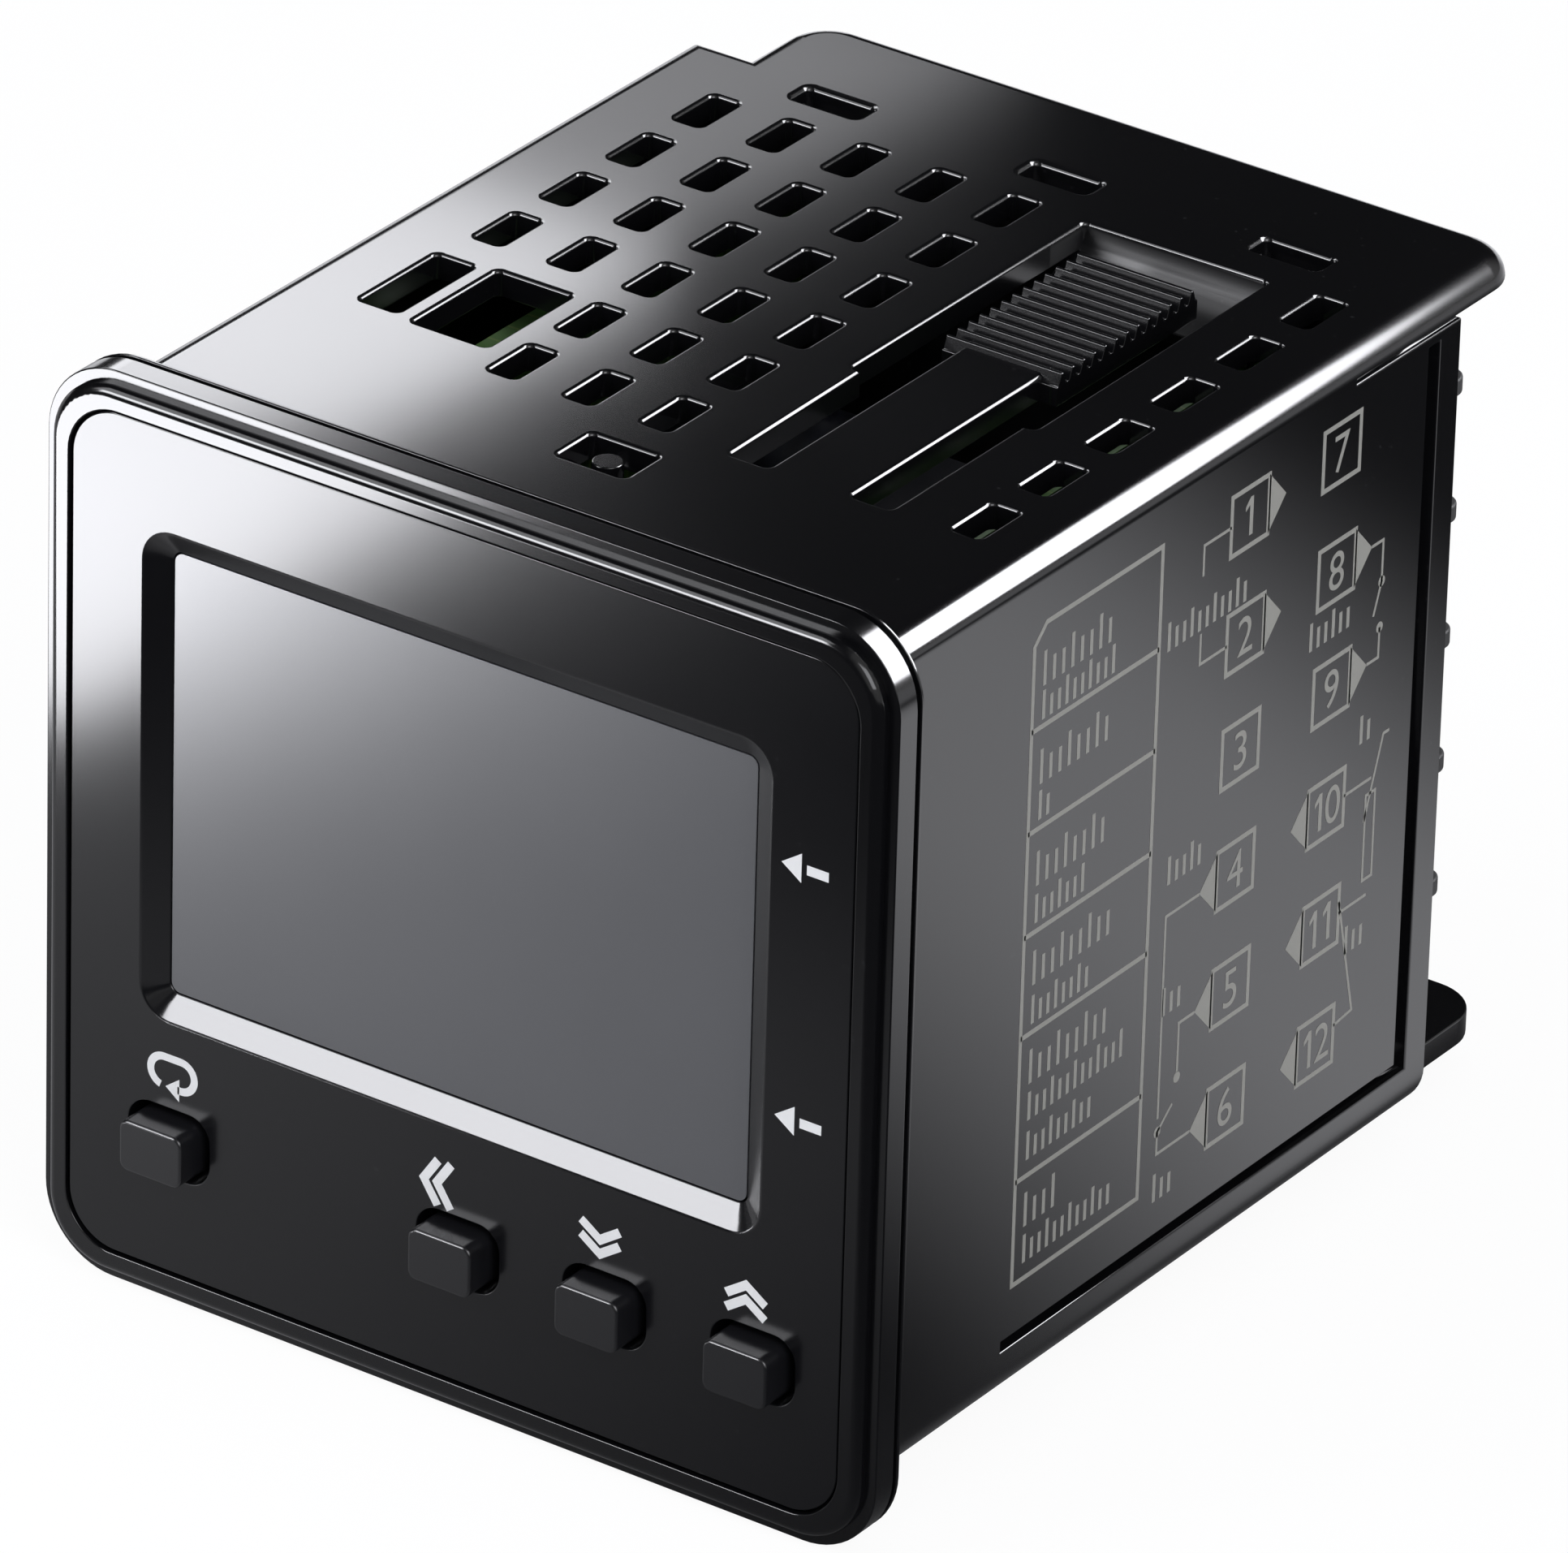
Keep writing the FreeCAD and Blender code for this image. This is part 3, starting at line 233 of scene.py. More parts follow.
# moulded skin: noise to the metre, the fine one for the bump and the broad one for gloss and tone
grainLook = {"fineDetail": 3.0, "broadScale": 60.0, "broadDetail": 3.0}
dustLook = {"scale": 2600.0, "detail": 1.0, "from": 0.74, "steep": 9.0, "colour": (0.35, 0.35, 0.36, 1.0)}


def makeMouldedGrain(p):
    # fine unevenness of a moulded skin: a shift in roughness, a bump height and a tone
    inputs, outputs = ("Scale", "Roughness", "Spread"), ("Roughness", "Height", "Tone")
    group, entry, leave = newGroup("mouldedGrain", inputs, outputs)
    fine = group.nodes.new("ShaderNodeTexNoise")
    link(group, entry.outputs["Vector"], fine.inputs["Vector"])
    link(group, entry.outputs["Scale"], fine.inputs["Scale"])
    fine.inputs["Detail"].default_value = p["fineDetail"]
    broad = noise(group, entry.outputs["Vector"], p["broadScale"], p["broadDetail"])
    centred = math2(group, "SUBTRACT", broad, 0.5)
    shift = math2(group, "MULTIPLY", centred, entry.outputs["Spread"])
    rough = math2(group, "ADD", entry.outputs["Roughness"], math2(group, "MULTIPLY", shift, 2.0), True)
    link(group, rough, leave.inputs["Roughness"])
    link(group, fine.outputs[0], leave.inputs["Height"])
    link(group, broad, leave.inputs["Tone"])
    return group


def makeFineDust(p):
    # sparse light specks: the peaks of a very fine noise
    group, entry, leave = newGroup("fineDust", ("Amount",), ("Mask",))
    speck = noise(group, entry.outputs["Vector"], p["scale"], p["detail"])
    peak = math2(group, "MULTIPLY", math2(group, "SUBTRACT", speck, p["from"]), p["steep"], True)
    link(group, math2(group, "MULTIPLY", peak, entry.outputs["Amount"]), leave.inputs["Mask"])
    return group


mouldedGrain = makeMouldedGrain(grainLook)
fineDust = makeFineDust(dustLook)
print("shared effects made")


def principled(tree):
    return next(node for node in tree.nodes if node.type == "BSDF_PRINCIPLED")


def newMaterial(name):
    material = bpy.data.materials.new(name)
    material.use_nodes = True
    tree = material.node_tree
    coordinates = tree.nodes.new("ShaderNodeTexCoord")
    return material, tree, principled(tree), coordinates.outputs["Object"]


def addGroup(tree, group, vector, values):
    node = tree.nodes.new("ShaderNodeGroup")
    node.node_tree = group
    link(tree, vector, node.inputs["Vector"])
    for label, value in values.items():
        node.inputs[label].default_value = value
    return node


def addBump(tree, height, strength, distance, shader):
    bump = tree.nodes.new("ShaderNodeBump")
    bump.inputs["Strength"].default_value = strength
    bump.inputs["Distance"].default_value = distance
    link(tree, height, bump.inputs["Height"])
    link(tree, bump.outputs["Normal"], shader.inputs["Normal"])


# how much lighter the light patches of plastic are, and the height of its bumps in metres
drift = {"times": 1.25, "plus": 0.001, "bumpHeight": 0.00002}


def plastic(name, colour, look):
    # moulded plastic: a colour that drifts a little, grain in the gloss, a trace of dust
    material, tree, shader, vector = newMaterial(name)
    grainValues = {"Scale": look["grain"], "Roughness": look["rough"], "Spread": look["spread"]}
    grain = addGroup(tree, mouldedGrain, vector, grainValues)
    dust = addGroup(tree, fineDust, vector, {"Amount": look["dust"]})
    lighter = [min(1.0, channel * drift["times"] + drift["plus"]) for channel in colour] + [1.0]
    base = mixColour(tree, grain.outputs["Tone"], list(colour) + [1.0], lighter)
    dusty = mixColour(tree, dust.outputs["Mask"], base, dustLook["colour"])
    link(tree, dusty, shader.inputs["Base Color"])
    link(tree, grain.outputs["Roughness"], shader.inputs["Roughness"])
    shader.inputs["Specular IOR Level"].default_value = look.get("specular", 0.5)
    addBump(tree, grain.outputs["Height"], look["bump"], drift["bumpHeight"], shader)
    return material


finishes = {
    "case": {"rough": 0.14, "spread": 0.02, "grain": 2500.0, "bump": 0.002, "dust": 0.05, "specular": 0.6},
    "bezel": {"rough": 0.15, "spread": 0.02, "grain": 2500.0, "bump": 0.005, "dust": 0.03, "specular": 0.6},
    "facia": {"rough": 0.18, "spread": 0.02, "grain": 2500.0, "bump": 0.005, "dust": 0.03, "specular": 0.6},
    "pane": {"rough": 0.3, "spread": 0.02, "grain": 900.0, "bump": 0.0, "dust": 0.03, "specular": 1.0},
    "key": {"rough": 0.24, "spread": 0.02, "grain": 3500.0, "bump": 0.02, "dust": 0.05, "specular": 0.8},
    "dull": {"rough": 0.6, "spread": 0.05, "grain": 2000.0, "bump": 0.2, "dust": 0.1},
    "ink": {"rough": 0.55, "spread": 0.05, "grain": 4000.0, "bump": 0.1, "dust": 0.0},
}
colours = {
    "black": (0.0035, 0.0035, 0.0042),
    "facia": (0.0035, 0.0035, 0.0045),
    "key": (0.008, 0.008, 0.0095),
    "pane": (0.094, 0.0955, 0.103),
    "greyInk": (0.27, 0.265, 0.24),
    "whiteInk": (0.97, 0.97, 0.97),
    "resin": (0.02, 0.02, 0.02),
    "relay": (0.01, 0.011, 0.016),
    "guide": (0.8, 0.8, 0.78),
}


# the thumb recess behind the ribs, in millimetres, and how much duller it is than the skin round it
recess = {"x": (4.2, 14.8), "y": (38.7, 41.8), "z": (18.0, 22.0), "soft": 0.2, "duller": 0.26}


def inside(tree, value, low, high, soft):
    # one between two planes, falling softly to nought outside them
    centre, half = (low + high) / 2 * mm, (high - low) / 2 * mm
    away = math2(tree, "ABSOLUTE", math2(tree, "SUBTRACT", value, centre), 0.0)
    past = math2(tree, "DIVIDE", math2(tree, "SUBTRACT", half, away), soft * mm)
    return math2(tree, "ADD", past, 0.5, True)


def dullRecess(material, p):
    # the roughness rises inside the box of the recess, with the same soft fall on every side
    tree = material.node_tree
    within = 1.0
    for axis, (low, high) in zip(axesOf(tree), (p["x"], p["y"], p["z"])):
        within = math2(tree, "MULTIPLY", inside(tree, axis, low, high, p["soft"]), within)
    socket = principled(tree).inputs["Roughness"]
    skin = socket.links[0].from_socket
    link(tree, math2(tree, "ADD", skin, math2(tree, "MULTIPLY", within, p["duller"]), True), socket)


# fine stripes: their light and dark colours, how metallic and rough, how closely set and across which axis
striped = {
    "copper": {"name": "copperWinding", "light": (0.7, 0.3, 0.12), "dark": (0.25, 0.08, 0.03),
               "metallic": 0.9, "rough": 0.35, "stripes": 700.0, "across": "Y"},
    "iron": {"name": "coreSheets", "light": (0.3, 0.3, 0.31), "dark": (0.08, 0.08, 0.085),
             "metallic": 0.9, "rough": 0.45, "stripes": 900.0, "across": "X"},
    "can": {"name": "capacitorCan", "light": (0.02, 0.022, 0.034), "dark": (0.012, 0.013, 0.02),
            "metallic": 0.0, "rough": 0.4, "stripes": 200.0, "across": "X"},
    "tin": {"name": "tinnedPlate", "light": (0.75, 0.72, 0.62), "dark": (0.62, 0.6, 0.52),
            "metallic": 1.0, "rough": 0.32, "stripes": 1500.0, "across": "Z"},
    "steel": {"name": "screwSteel", "light": (0.78, 0.77, 0.75), "dark": (0.62, 0.61, 0.6),
              "metallic": 1.0, "rough": 0.25, "stripes": 2500.0, "across": "Z"},
}
stripeLook = {"uneven": 0.4, "grain": 1500.0, "spread": 0.1, "bump": 0.3, "bumpHeight": 0.00003}
boardLook = {
    "weave": 160.0, "gap": 0.012, "threads": ((0.05, 0.15, 0.02, 1), (0.07, 0.18, 0.025, 1)),
    "between": (0.14, 0.22, 0.04, 1), "grain": 5000.0, "rough": 0.35, "spread": 0.06,
    "bump": 0.2, "bumpHeight": 0.00002,
}


def stripedMaterial(look, p):
    # fine regular lines across one axis: a winding, laminations, a turned face or a sleeve
    material, tree, shader, vector = newMaterial(look["name"])
    wave = tree.nodes.new("ShaderNodeTexWave")
    wave.bands_direction = look["across"]
    wave.inputs["Scale"].default_value = look["stripes"]
    wave.inputs["Distortion"].default_value = p["uneven"]
    link(tree, vector, wave.inputs["Vector"])
    colour = mixColour(tree, wave.outputs["Fac"], (*look["dark"], 1.0), (*look["light"], 1.0))
    link(tree, colour, shader.inputs["Base Color"])
    grainValues = {"Scale": p["grain"], "Roughness": look["rough"], "Spread": p["spread"]}
    grain = addGroup(tree, mouldedGrain, vector, grainValues)
    link(tree, grain.outputs["Roughness"], shader.inputs["Roughness"])
    shader.inputs["Metallic"].default_value = look["metallic"]
    addBump(tree, wave.outputs["Fac"], p["bump"], p["bumpHeight"], shader)
    return material


def circuitBoard(p):
    # green lacquer over a fine cloth weave: small bricks of two greens with paler lines between them
    material, tree, shader, vector = newMaterial("circuitBoard")
    brick = tree.nodes.new("ShaderNodeTexBrick")
    brick.inputs["Scale"].default_value = p["weave"]
    brick.inputs["Mortar Size"].default_value = p["gap"]
    brick.inputs["Color1"].default_value, brick.inputs["Color2"].default_value = p["threads"]
    brick.inputs["Mortar"].default_value = p["between"]
    link(tree, vector, brick.inputs["Vector"])
    link(tree, brick.outputs["Color"], shader.inputs["Base Color"])
    grainValues = {"Scale": p["grain"], "Roughness": p["rough"], "Spread": p["spread"]}
    grain = addGroup(tree, mouldedGrain, vector, grainValues)
    link(tree, grain.outputs["Roughness"], shader.inputs["Roughness"])
    addBump(tree, brick.outputs["Fac"], p["bump"], p["bumpHeight"], shader)
    return material


materials = {
    "case": plastic("blackCase", colours["black"], finishes["case"]),
    "bezel": plastic("blackBezel", colours["black"], finishes["bezel"]),
    "front_panel": plastic("blackFacia", colours["facia"], finishes["facia"]),
    "window_lens": plastic("smokedPane", colours["pane"], finishes["pane"]),
    "terminal_block": plastic("blackTerminal", colours["black"], finishes["dull"]),
    "key": plastic("keyCap", colours["key"], finishes["key"]),
    "resin": plastic("blackResin", colours["resin"], finishes["dull"]),
    "relay": plastic("relayCase", colours["relay"], finishes["dull"]),
    "guide": plastic("lightGuide", colours["guide"], finishes["dull"]),
    "greyInk": plastic("greyInk", colours["greyInk"], finishes["ink"]),
    "whiteInk": plastic("whiteInk", colours["whiteInk"], finishes["ink"]),
    "board": circuitBoard(boardLook),
}
materials.update({finish: stripedMaterial(look, stripeLook) for finish, look in striped.items()})
dullRecess(materials["case"], recess)
wears = {
    "case": "case", "bezel": "bezel", "front_panel": "front_panel", "window_lens": "window_lens",
    "terminal_block": "terminal_block", "lcd_glass": "window_lens", "backlight": "guide",
    "display_board": "board", "controller_chip": "resin", "power_board": "board", "input_board": "board",
    "power_header": "resin", "input_header": "resin", "transformer_winding": "copper",
    "transformer_core": "iron", "output_relay": "relay", "alarm_relay": "relay",
    "filter_capacitor": "can", "supply_capacitor": "can",
    "terminal_plates": "tin", "terminal_screws": "steel",
}
for keyName in keyNames:
    wears[f"{keyName}_key"] = "key"
    wears[f"{keyName}_plunger"] = "resin"
    wears[f"{keyName}_switch"] = "resin"
for nodeName, materialName in wears.items():
    for slot in nodes[nodeName].material_slots:
        slot.material = materials[materialName]
print("materials:", len(materials))


# softer edges on the moulded pieces, in millimetres, and the angle in degrees past which an edge is soft
softEdges = {
    "case": {"edge": 0.1, "slot": 0.22, "scoop": 0.32, "rib": 0.04, "top": 22.2, "level": 0.02,
             "ribs": {"x": (5.5, 13.5), "y": (26.6, 38.8), "deep": 1.2},
             "rearSlots": {"halfWidth": 16, "y": (43.9, 45.7)},
             "angle": 38, "splitFrom": 2.0, "skin": "case_plastic"},
    "bezel": {"edge": 0.07, "angle": 38, "skin": "bezel_plastic"},
    "front_panel": {"edge": 0.09, "angle": 18, "skin": "panel_plastic"},
    "terminal_block": {"edge": 0.12, "angle": 38, "skin": "terminal_plastic"},
}
# corners this near are joined, flats within this angle in radians are cleared, and how upright a wall is
joining = {"apart": 0.002, "flat": 0.004, "upright": 0.01}
rounding = {"segments": 3, "evenness": 80}


def between(value, limits):
    return limits[0] < value < limits[1]


def edgeWidth(edge, look):
    # the rims of the rear slots are scooped, the other rims of the top a little less, the ribs hardly
    if "scoop" not in look:
        return look["edge"]
    first, second = (vert.co for vert in edge.verts)
    middle = (first + second) / 2
    ribs, rear, top = look["ribs"], look["rearSlots"], look["top"]
    if between(middle.x, ribs["x"]) and between(middle.y, ribs["y"]) and middle.z > top - ribs["deep"]:
        return look["rib"]
    if max(abs(first.z - top), abs(second.z - top)) > look["level"]:
        return look["edge"]
    inRearSlot = between(middle.y, rear["y"]) and abs(middle.x) < rear["halfWidth"]
    return look["scoop"] if inRearSlot else look["slot"]


def roundedCopy(name, look):
    # the solid with its triangles joined and its flats cleared, kept in millimetres, edges weighed by width
    shell = bmesh.new()
    shell.from_mesh(nodes[name].data)
    bmesh.ops.scale(shell, vec=(1 / mm,) * 3, verts=shell.verts)
    bmesh.ops.remove_doubles(shell, verts=shell.verts, dist=joining["apart"])
    bmesh.ops.dissolve_limit(shell, angle_limit=joining["flat"], verts=shell.verts, edges=shell.edges)
    if "splitFrom" in look:
        # the large upright faces touch their own grooves, so they are cut into triangles before rounding
        walls = [face for face in shell.faces if abs(face.normal.z) < joining["upright"]]
        large = [face for face in walls if len(face.verts) > 4 and face.calc_area() > look["splitFrom"]]
        bmesh.ops.triangulate(shell, faces=large)
    weight = shell.edges.layers.float.new("bevel_weight_edge")
    widest = look.get("scoop", look["edge"])
    for edge in shell.edges:
        edge.smooth = True
        if len(edge.link_faces) == 2 and edge.calc_face_angle() > math.radians(look["angle"]):
            if edge.is_convex:
                edge[weight] = edgeWidth(edge, look) / widest
            else:
                edge.smooth = False
    mesh = bpy.data.meshes.new(f"{name}_rounded")
    shell.to_mesh(mesh)
    shell.free()
    for layer in [layer for layer in mesh.attributes if layer.name in ("custom_normal", "sharp_face")]:
        mesh.attributes.remove(layer)
    return mesh, widest


def softenEdges(name, look):
    # the bevel and the even normals are worked out at millimetre size, where areas are not tiny, then scaled
    mesh, widest = roundedCopy(name, look)
    work = bpy.data.objects.new(f"{name}_rounded", mesh)
    scene.collection.objects.link(work)
    bevel = work.modifiers.new("softEdge", "BEVEL")
    bevel.limit_method = "WEIGHT"
    bevel.width = widest
    bevel.segments = rounding["segments"]
    bevel.use_clamp_overlap = False
    bevel.loop_slide = False
    flats = work.modifiers.new("evenFlats", "WEIGHTED_NORMAL")
    flats.mode = "FACE_AREA_WITH_ANGLE"
    flats.weight = rounding["evenness"]
    flats.keep_sharp = True
    settled = work.evaluated_get(bpy.context.evaluated_depsgraph_get())
    finished = bpy.data.meshes.new_from_object(settled)
    finished.transform(Matrix.Scale(mm, 4))
    bpy.data.objects.remove(work)
    skin = bpy.data.objects.new(f"{name}_skin", finished)
    scene.collection.objects.link(skin)
    finished.materials.clear()
    finished.materials.append(materials[name])
    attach(skin, "controller")
    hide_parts(name)
    return skin


for nodeName, look in softEdges.items():
    skin = softenEdges(nodeName, look)
    print(nodeName, "edges softened:", len(skin.data.polygons), "faces")


# the print on the right side: u runs from front to rear, v upwards, in millimetres
sidePrint = {
    "line": 0.26, "thin": 0.16, "lift": 0.012, "sunk": 0.002, "numeral": 2.0,
    "tableFront": 11.5, "tableRear": 21.9, "tableTop": 18.65, "tableLow": -15.8, "tableCut": 0.95,
    "dividers": (13.3, 8.0, 2.6, -2.7, -10.3), "margin": 0.8, "tick": 0.25, "tickStep": 0.42, "lowTick": 0.72,
    # rows in the table: their level, height and number of ticks
    "tableWords": (
        (16.3, 1.8, 8), (14.4, 1.5, 10), (11.2, 1.8, 8), (9.2, 1.5, 2), (5.9, 1.8, 8), (3.8, 1.5, 7),
        (0.7, 1.8, 9), (-1.5, 1.5, 8), (-4.5, 1.8, 9), (-6.6, 1.5, 13), (-8.7, 1.5, 9),
        (-12.1, 1.8, 4), (-14.2, 1.5, 12),
    ),
    # rows beside the terminals: where they start, their level and number of ticks
    "sideHeight": 1.5,
    "sideWords": (
        (22.6, 13.6, 11), (34.8, 8.5, 6), (23.4, 1.0, 5), (23.4, -6.0, 3), (23.2, -15.9, 3),
        (39.1, -9.5, 3), (39.6, 1.6, 2),
    ),
    "innerColumn": 29.2, "outerColumn": 36.9, "boxHalf": 1.55, "head": 1.45,
    "innerRows": (17.25, 11.05, 5.0, -1.4, -7.7, -14.1),
    "outerRows": (17.5, 11.25, 5.0, -1.4, -7.7, -14.2),
    "heads": {1: 1, 2: 1, 4: -1, 5: -1, 6: -1, 8: 1, 9: 1, 10: -1, 11: -1, 12: -1},
    # points of the wires: u, or "box" where one leaves it; the terminal whose row it takes; how far above
    "wires": (
        (("box", 1, 0), (25.4, 1, 0), (25.4, 1, -1.6)),
        (("box", 2, 0), (25.4, 2, 0), (25.4, 2, 1.6)),
        (("box", 4, 0), (23.4, 4, 0), (23.4, 6, 1.9)),
        (("box", 5, 0), (24.9, 5, 0), (24.9, 5, -2.6)),
        (("box", 6, 0), (23.4, 6, 0), (23.4, 6, 1.2), (24.6, 6, 2.2)),
        (("box", 8, 0), (40.9, 8, 0), (40.9, 8, -2.2), (40.3, 9, 2.4)),
        (("box", 9, 0), (40.9, 9, 0), (40.9, 9, 1.6)),
        (("box", 10, 0), (40.8, 10, 0)),
        (("box", 11, 0), (40.8, 11, 0)),
        (("box", 11, 0.6), (40.0, 12, 0.6), ("box", 12, 0.4)),
        ((40.3, 10, -2.2), (41.7, 10, 2.0), (42.2, 10, 2.0)),
    ),
    "contact": ((40.4, 11, 0.9), (41.2, 11, 0.9), (41.2, 10, -0.8), (40.4, 10, -0.8)),
    "dots": ((24.9, 5, -2.9), (23.4, 6, 1.2), (40.9, 8, -2.2), (40.9, 9, 1.6)), "dot": 0.28,
}


def numberedBox(u, v, number, p):
    # a square frame round a numeral, with an arrow head on one side where it has one
    half, side = p["boxHalf"], p["heads"].get(number, 0)
    ring = [(u - half, v - half), (u + half, v - half), (u + half, v + half), (u - half, v + half)]
    parts = [stroke(ring, p["line"], p["lift"], True)]
    if side:
        tip = [(u + side * half, v + half), (u + side * (half + p["head"]), v), (u + side * half, v - half)]
        parts.append(patch(tip if side < 0 else tip[::-1], p["lift"]))
    parts += numeral(str(number), u, v, p["numeral"], p["lift"])
    return parts


def wordTicks(u, v, height, count, p):
    # a row of short upright ticks, every third one tall, that stands for a word of small print
    parts = []
    for i in range(count):
        tall = height if i % 3 == 0 else height * p["lowTick"]
        start = u + i * height * p["tickStep"]
        parts.append(bar(start, v - height / 2, start + p["tick"], v - height / 2 + tall, p["lift"]))
    return parts


def wirePoint(point, p):
    # the place of a wire's point: its own u, or the outward side of its box or arrow head
    u, number, above = point
    rows = p["innerRows"] + p["outerRows"]
    if u == "box":
        outward, column = (-1, p["innerColumn"]) if number <= len(p["innerRows"]) else (1, p["outerColumn"])
        head = p["head"] if p["heads"].get(number) == outward else 0
        u = column + outward * (p["boxHalf"] + head)
    return u, rows[number - 1] + above


def makeSidePrint(p):
    # a table with one cut corner and rows of ticks, and twelve numbered boxes with the wires that join them
    front, rear, top, low, cut = (p[f"table{name}"] for name in ("Front", "Rear", "Top", "Low", "Cut"))
    frameLine = [(front, low), (rear, low), (rear, top), (front + cut, top), (front, top - cut)]
    parts = [stroke(frameLine, p["line"], p["lift"], True)]
    for level in p["dividers"]:
        parts.append(stroke([(front, level), (rear, level)], p["line"], p["lift"]))
    for level, height, count in p["tableWords"]:
        parts += wordTicks(front + p["margin"], level, height, count, p)
    columns = [p["innerColumn"]] * len(p["innerRows"]) + [p["outerColumn"]] * len(p["outerRows"])
    for i, (column, level) in enumerate(zip(columns, p["innerRows"] + p["outerRows"])):
        parts += numberedBox(column, level, i + 1, p)
    for wire in p["wires"]:
        parts.append(stroke([wirePoint(point, p) for point in wire], p["thin"], p["lift"]))
    parts.append(stroke([wirePoint(point, p) for point in p["contact"]], p["thin"], p["lift"], True))
    parts += [disc(*wirePoint(point, p), p["dot"], p["lift"]) for point in p["dots"]]
    for u, v, count in p["sideWords"]:
        parts += wordTicks(u, v, p["sideHeight"], count, p)
    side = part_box("case")[1][0] / mm
    onSide = [[0, 0, 1, side - p["sunk"]], [1, 0, 0, 0], [0, 1, 0, 0], [0, 0, 0, 1]]
    return merged("sidePrint", placed(parts, onSide))


# the print on the facia: u runs to the right, v upwards, in millimetres; turns are quarters
facePrint = {
    "lift": 0.015, "sunk": 0.002, "chevron": 0.46, "line": 0.4,
    "chevrons": (
        {"at": (-0.7, -11.95), "half": 1.2, "rise": 0.8, "apart": 0.75, "turn": 1},
        {"at": (8.6, -11.75), "half": 1.1, "rise": 0.75, "apart": 0.75, "turn": 2},
        {"at": (16.85, -12.0), "half": 1.1, "rise": 0.75, "apart": 0.75, "turn": 0},
    ),
    "loop": {"at": (-16.1, -11.45), "radius": 0.78, "straight": 0.5, "from": 255, "tip": 0.4,
             "long": 0.8, "half": 0.6, "overlap": 0.1},
    "marks": {"left": 18.15, "levels": (11.3, -1.8), "height": 1.5, "pointer": 1.1,
              "bar": (1.4, 2.6), "barHalf": 0.25},
}


def chevrons(look, p):
    # two nested angle strokes, turned by whole quarters
    c, s = (round(f(look["turn"] * math.pi / 2)) for f in (math.cos, math.sin))
    half, rise, apart = look["half"], look["rise"], look["apart"]
    parts = []
    for foot in (-apart / 2, apart / 2):
        path = np.array([(-half, foot), (0.0, foot + rise), (half, foot)])
        path = path - [0, rise / 2]
        parts.append(stroke(path @ np.array([[c, s], [-s, c]]) + look["at"], p["chevron"], p["lift"]))
    return parts


def loopArrow(look, p):
    # a flat band with round ends, open below; its right end turns back into an arrow head that points left
    u, v = look["at"]
    left = np.radians(np.linspace(look["from"], 90, 16))
    right = np.radians(np.linspace(90, -90, 16))
    radius, straight = look["radius"], look["straight"]
    leftArc = np.stack([u - straight + radius * np.cos(left), v + radius * np.sin(left)], 1)
    rightArc = np.stack([u + straight + radius * np.cos(right), v + radius * np.sin(right)], 1)
    low, tip = v - radius, u - look["tip"]
    base = tip + look["long"]
    path = np.concatenate([leftArc, rightArc, [(base - look["overlap"], low)]])
    head = [(tip, low), (base, low + look["half"]), (base, low - look["half"])]
    return [stroke(path, p["line"], p["lift"]), patch(head, p["lift"])]


def displayMark(level, look, lift):
    # a triangle that points at the window, and a short bar to the right of it
    left, half, base = look["left"], look["height"] / 2, look["left"] + look["pointer"]
    pointer = patch([(left, level), (base, level - half), (base, level + half)], lift)
    start, end = (left + reach for reach in look["bar"])
    return [pointer, bar(start, level - look["barHalf"], end, level + look["barHalf"], lift)]


def makeFacePrint(p):
    # the loop arrow and three double chevrons over the keys, and a mark beside each display row
    parts = loopArrow(p["loop"], p)
    for look in p["chevrons"]:
        parts += chevrons(look, p)
    for level in p["marks"]["levels"]:
        parts += displayMark(level, p["marks"], p["lift"])
    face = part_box("front_panel")[0][1] / mm
    onFace = [[1, 0, 0, 0], [0, 0, -1, face + p["sunk"]], [0, 1, 0, 0], [0, 0, 0, 1]]
    return merged("facePrint", placed(parts, onFace))


for maker, choices, ink in ((makeSidePrint, sidePrint, "greyInk"), (makeFacePrint, facePrint, "whiteInk")):
    piece = maker(choices)
    piece.data.materials.append(materials[ink])
    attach(piece, "controller")
print("print laid on")


# lengths in millimetres; near, far, rear and beside are how strongly gloss sees the parts of the floor
stageLook = {
    "floor": -24.03, "half": 3000.0, "paper": (0.8, 0.8, 0.8), "white": 0.93, "shadow": 0.1,
    "near": 0.55, "frontFade": (-66.0, -32.0), "rightFade": (-50.0, 45.0),
    "far": 0.03, "rear": 0.8, "rearFade": (125.0, 190.0),
    "beside": 1.25, "besideLean": 0.36,
    "besideRise": (0.0, 42.0), "besideFall": (52.0, 84.0), "besideFrom": (22.0, 27.0),
    "cool": (0.955, 0.96, 1.0), "room": (0.92, 0.95, 1.0), "fill": 0.42,
    "dark": 0.02, "open": 0.6, "openFrom": (-0.1, 0.5),
}


def rampBetween(tree, value, fromMin, fromMax, toMin, toMax):
    # a smooth step from one number to another between two places
    node = tree.nodes.new("ShaderNodeMapRange")
    node.interpolation_type = "SMOOTHSTEP"
    link(tree, value, node.inputs["Value"])
    for label, number in zip(("From Min", "From Max", "To Min", "To Max"), (fromMin, fromMax, toMin, toMax)):
        node.inputs[label].default_value = number
    return node.outputs[0]


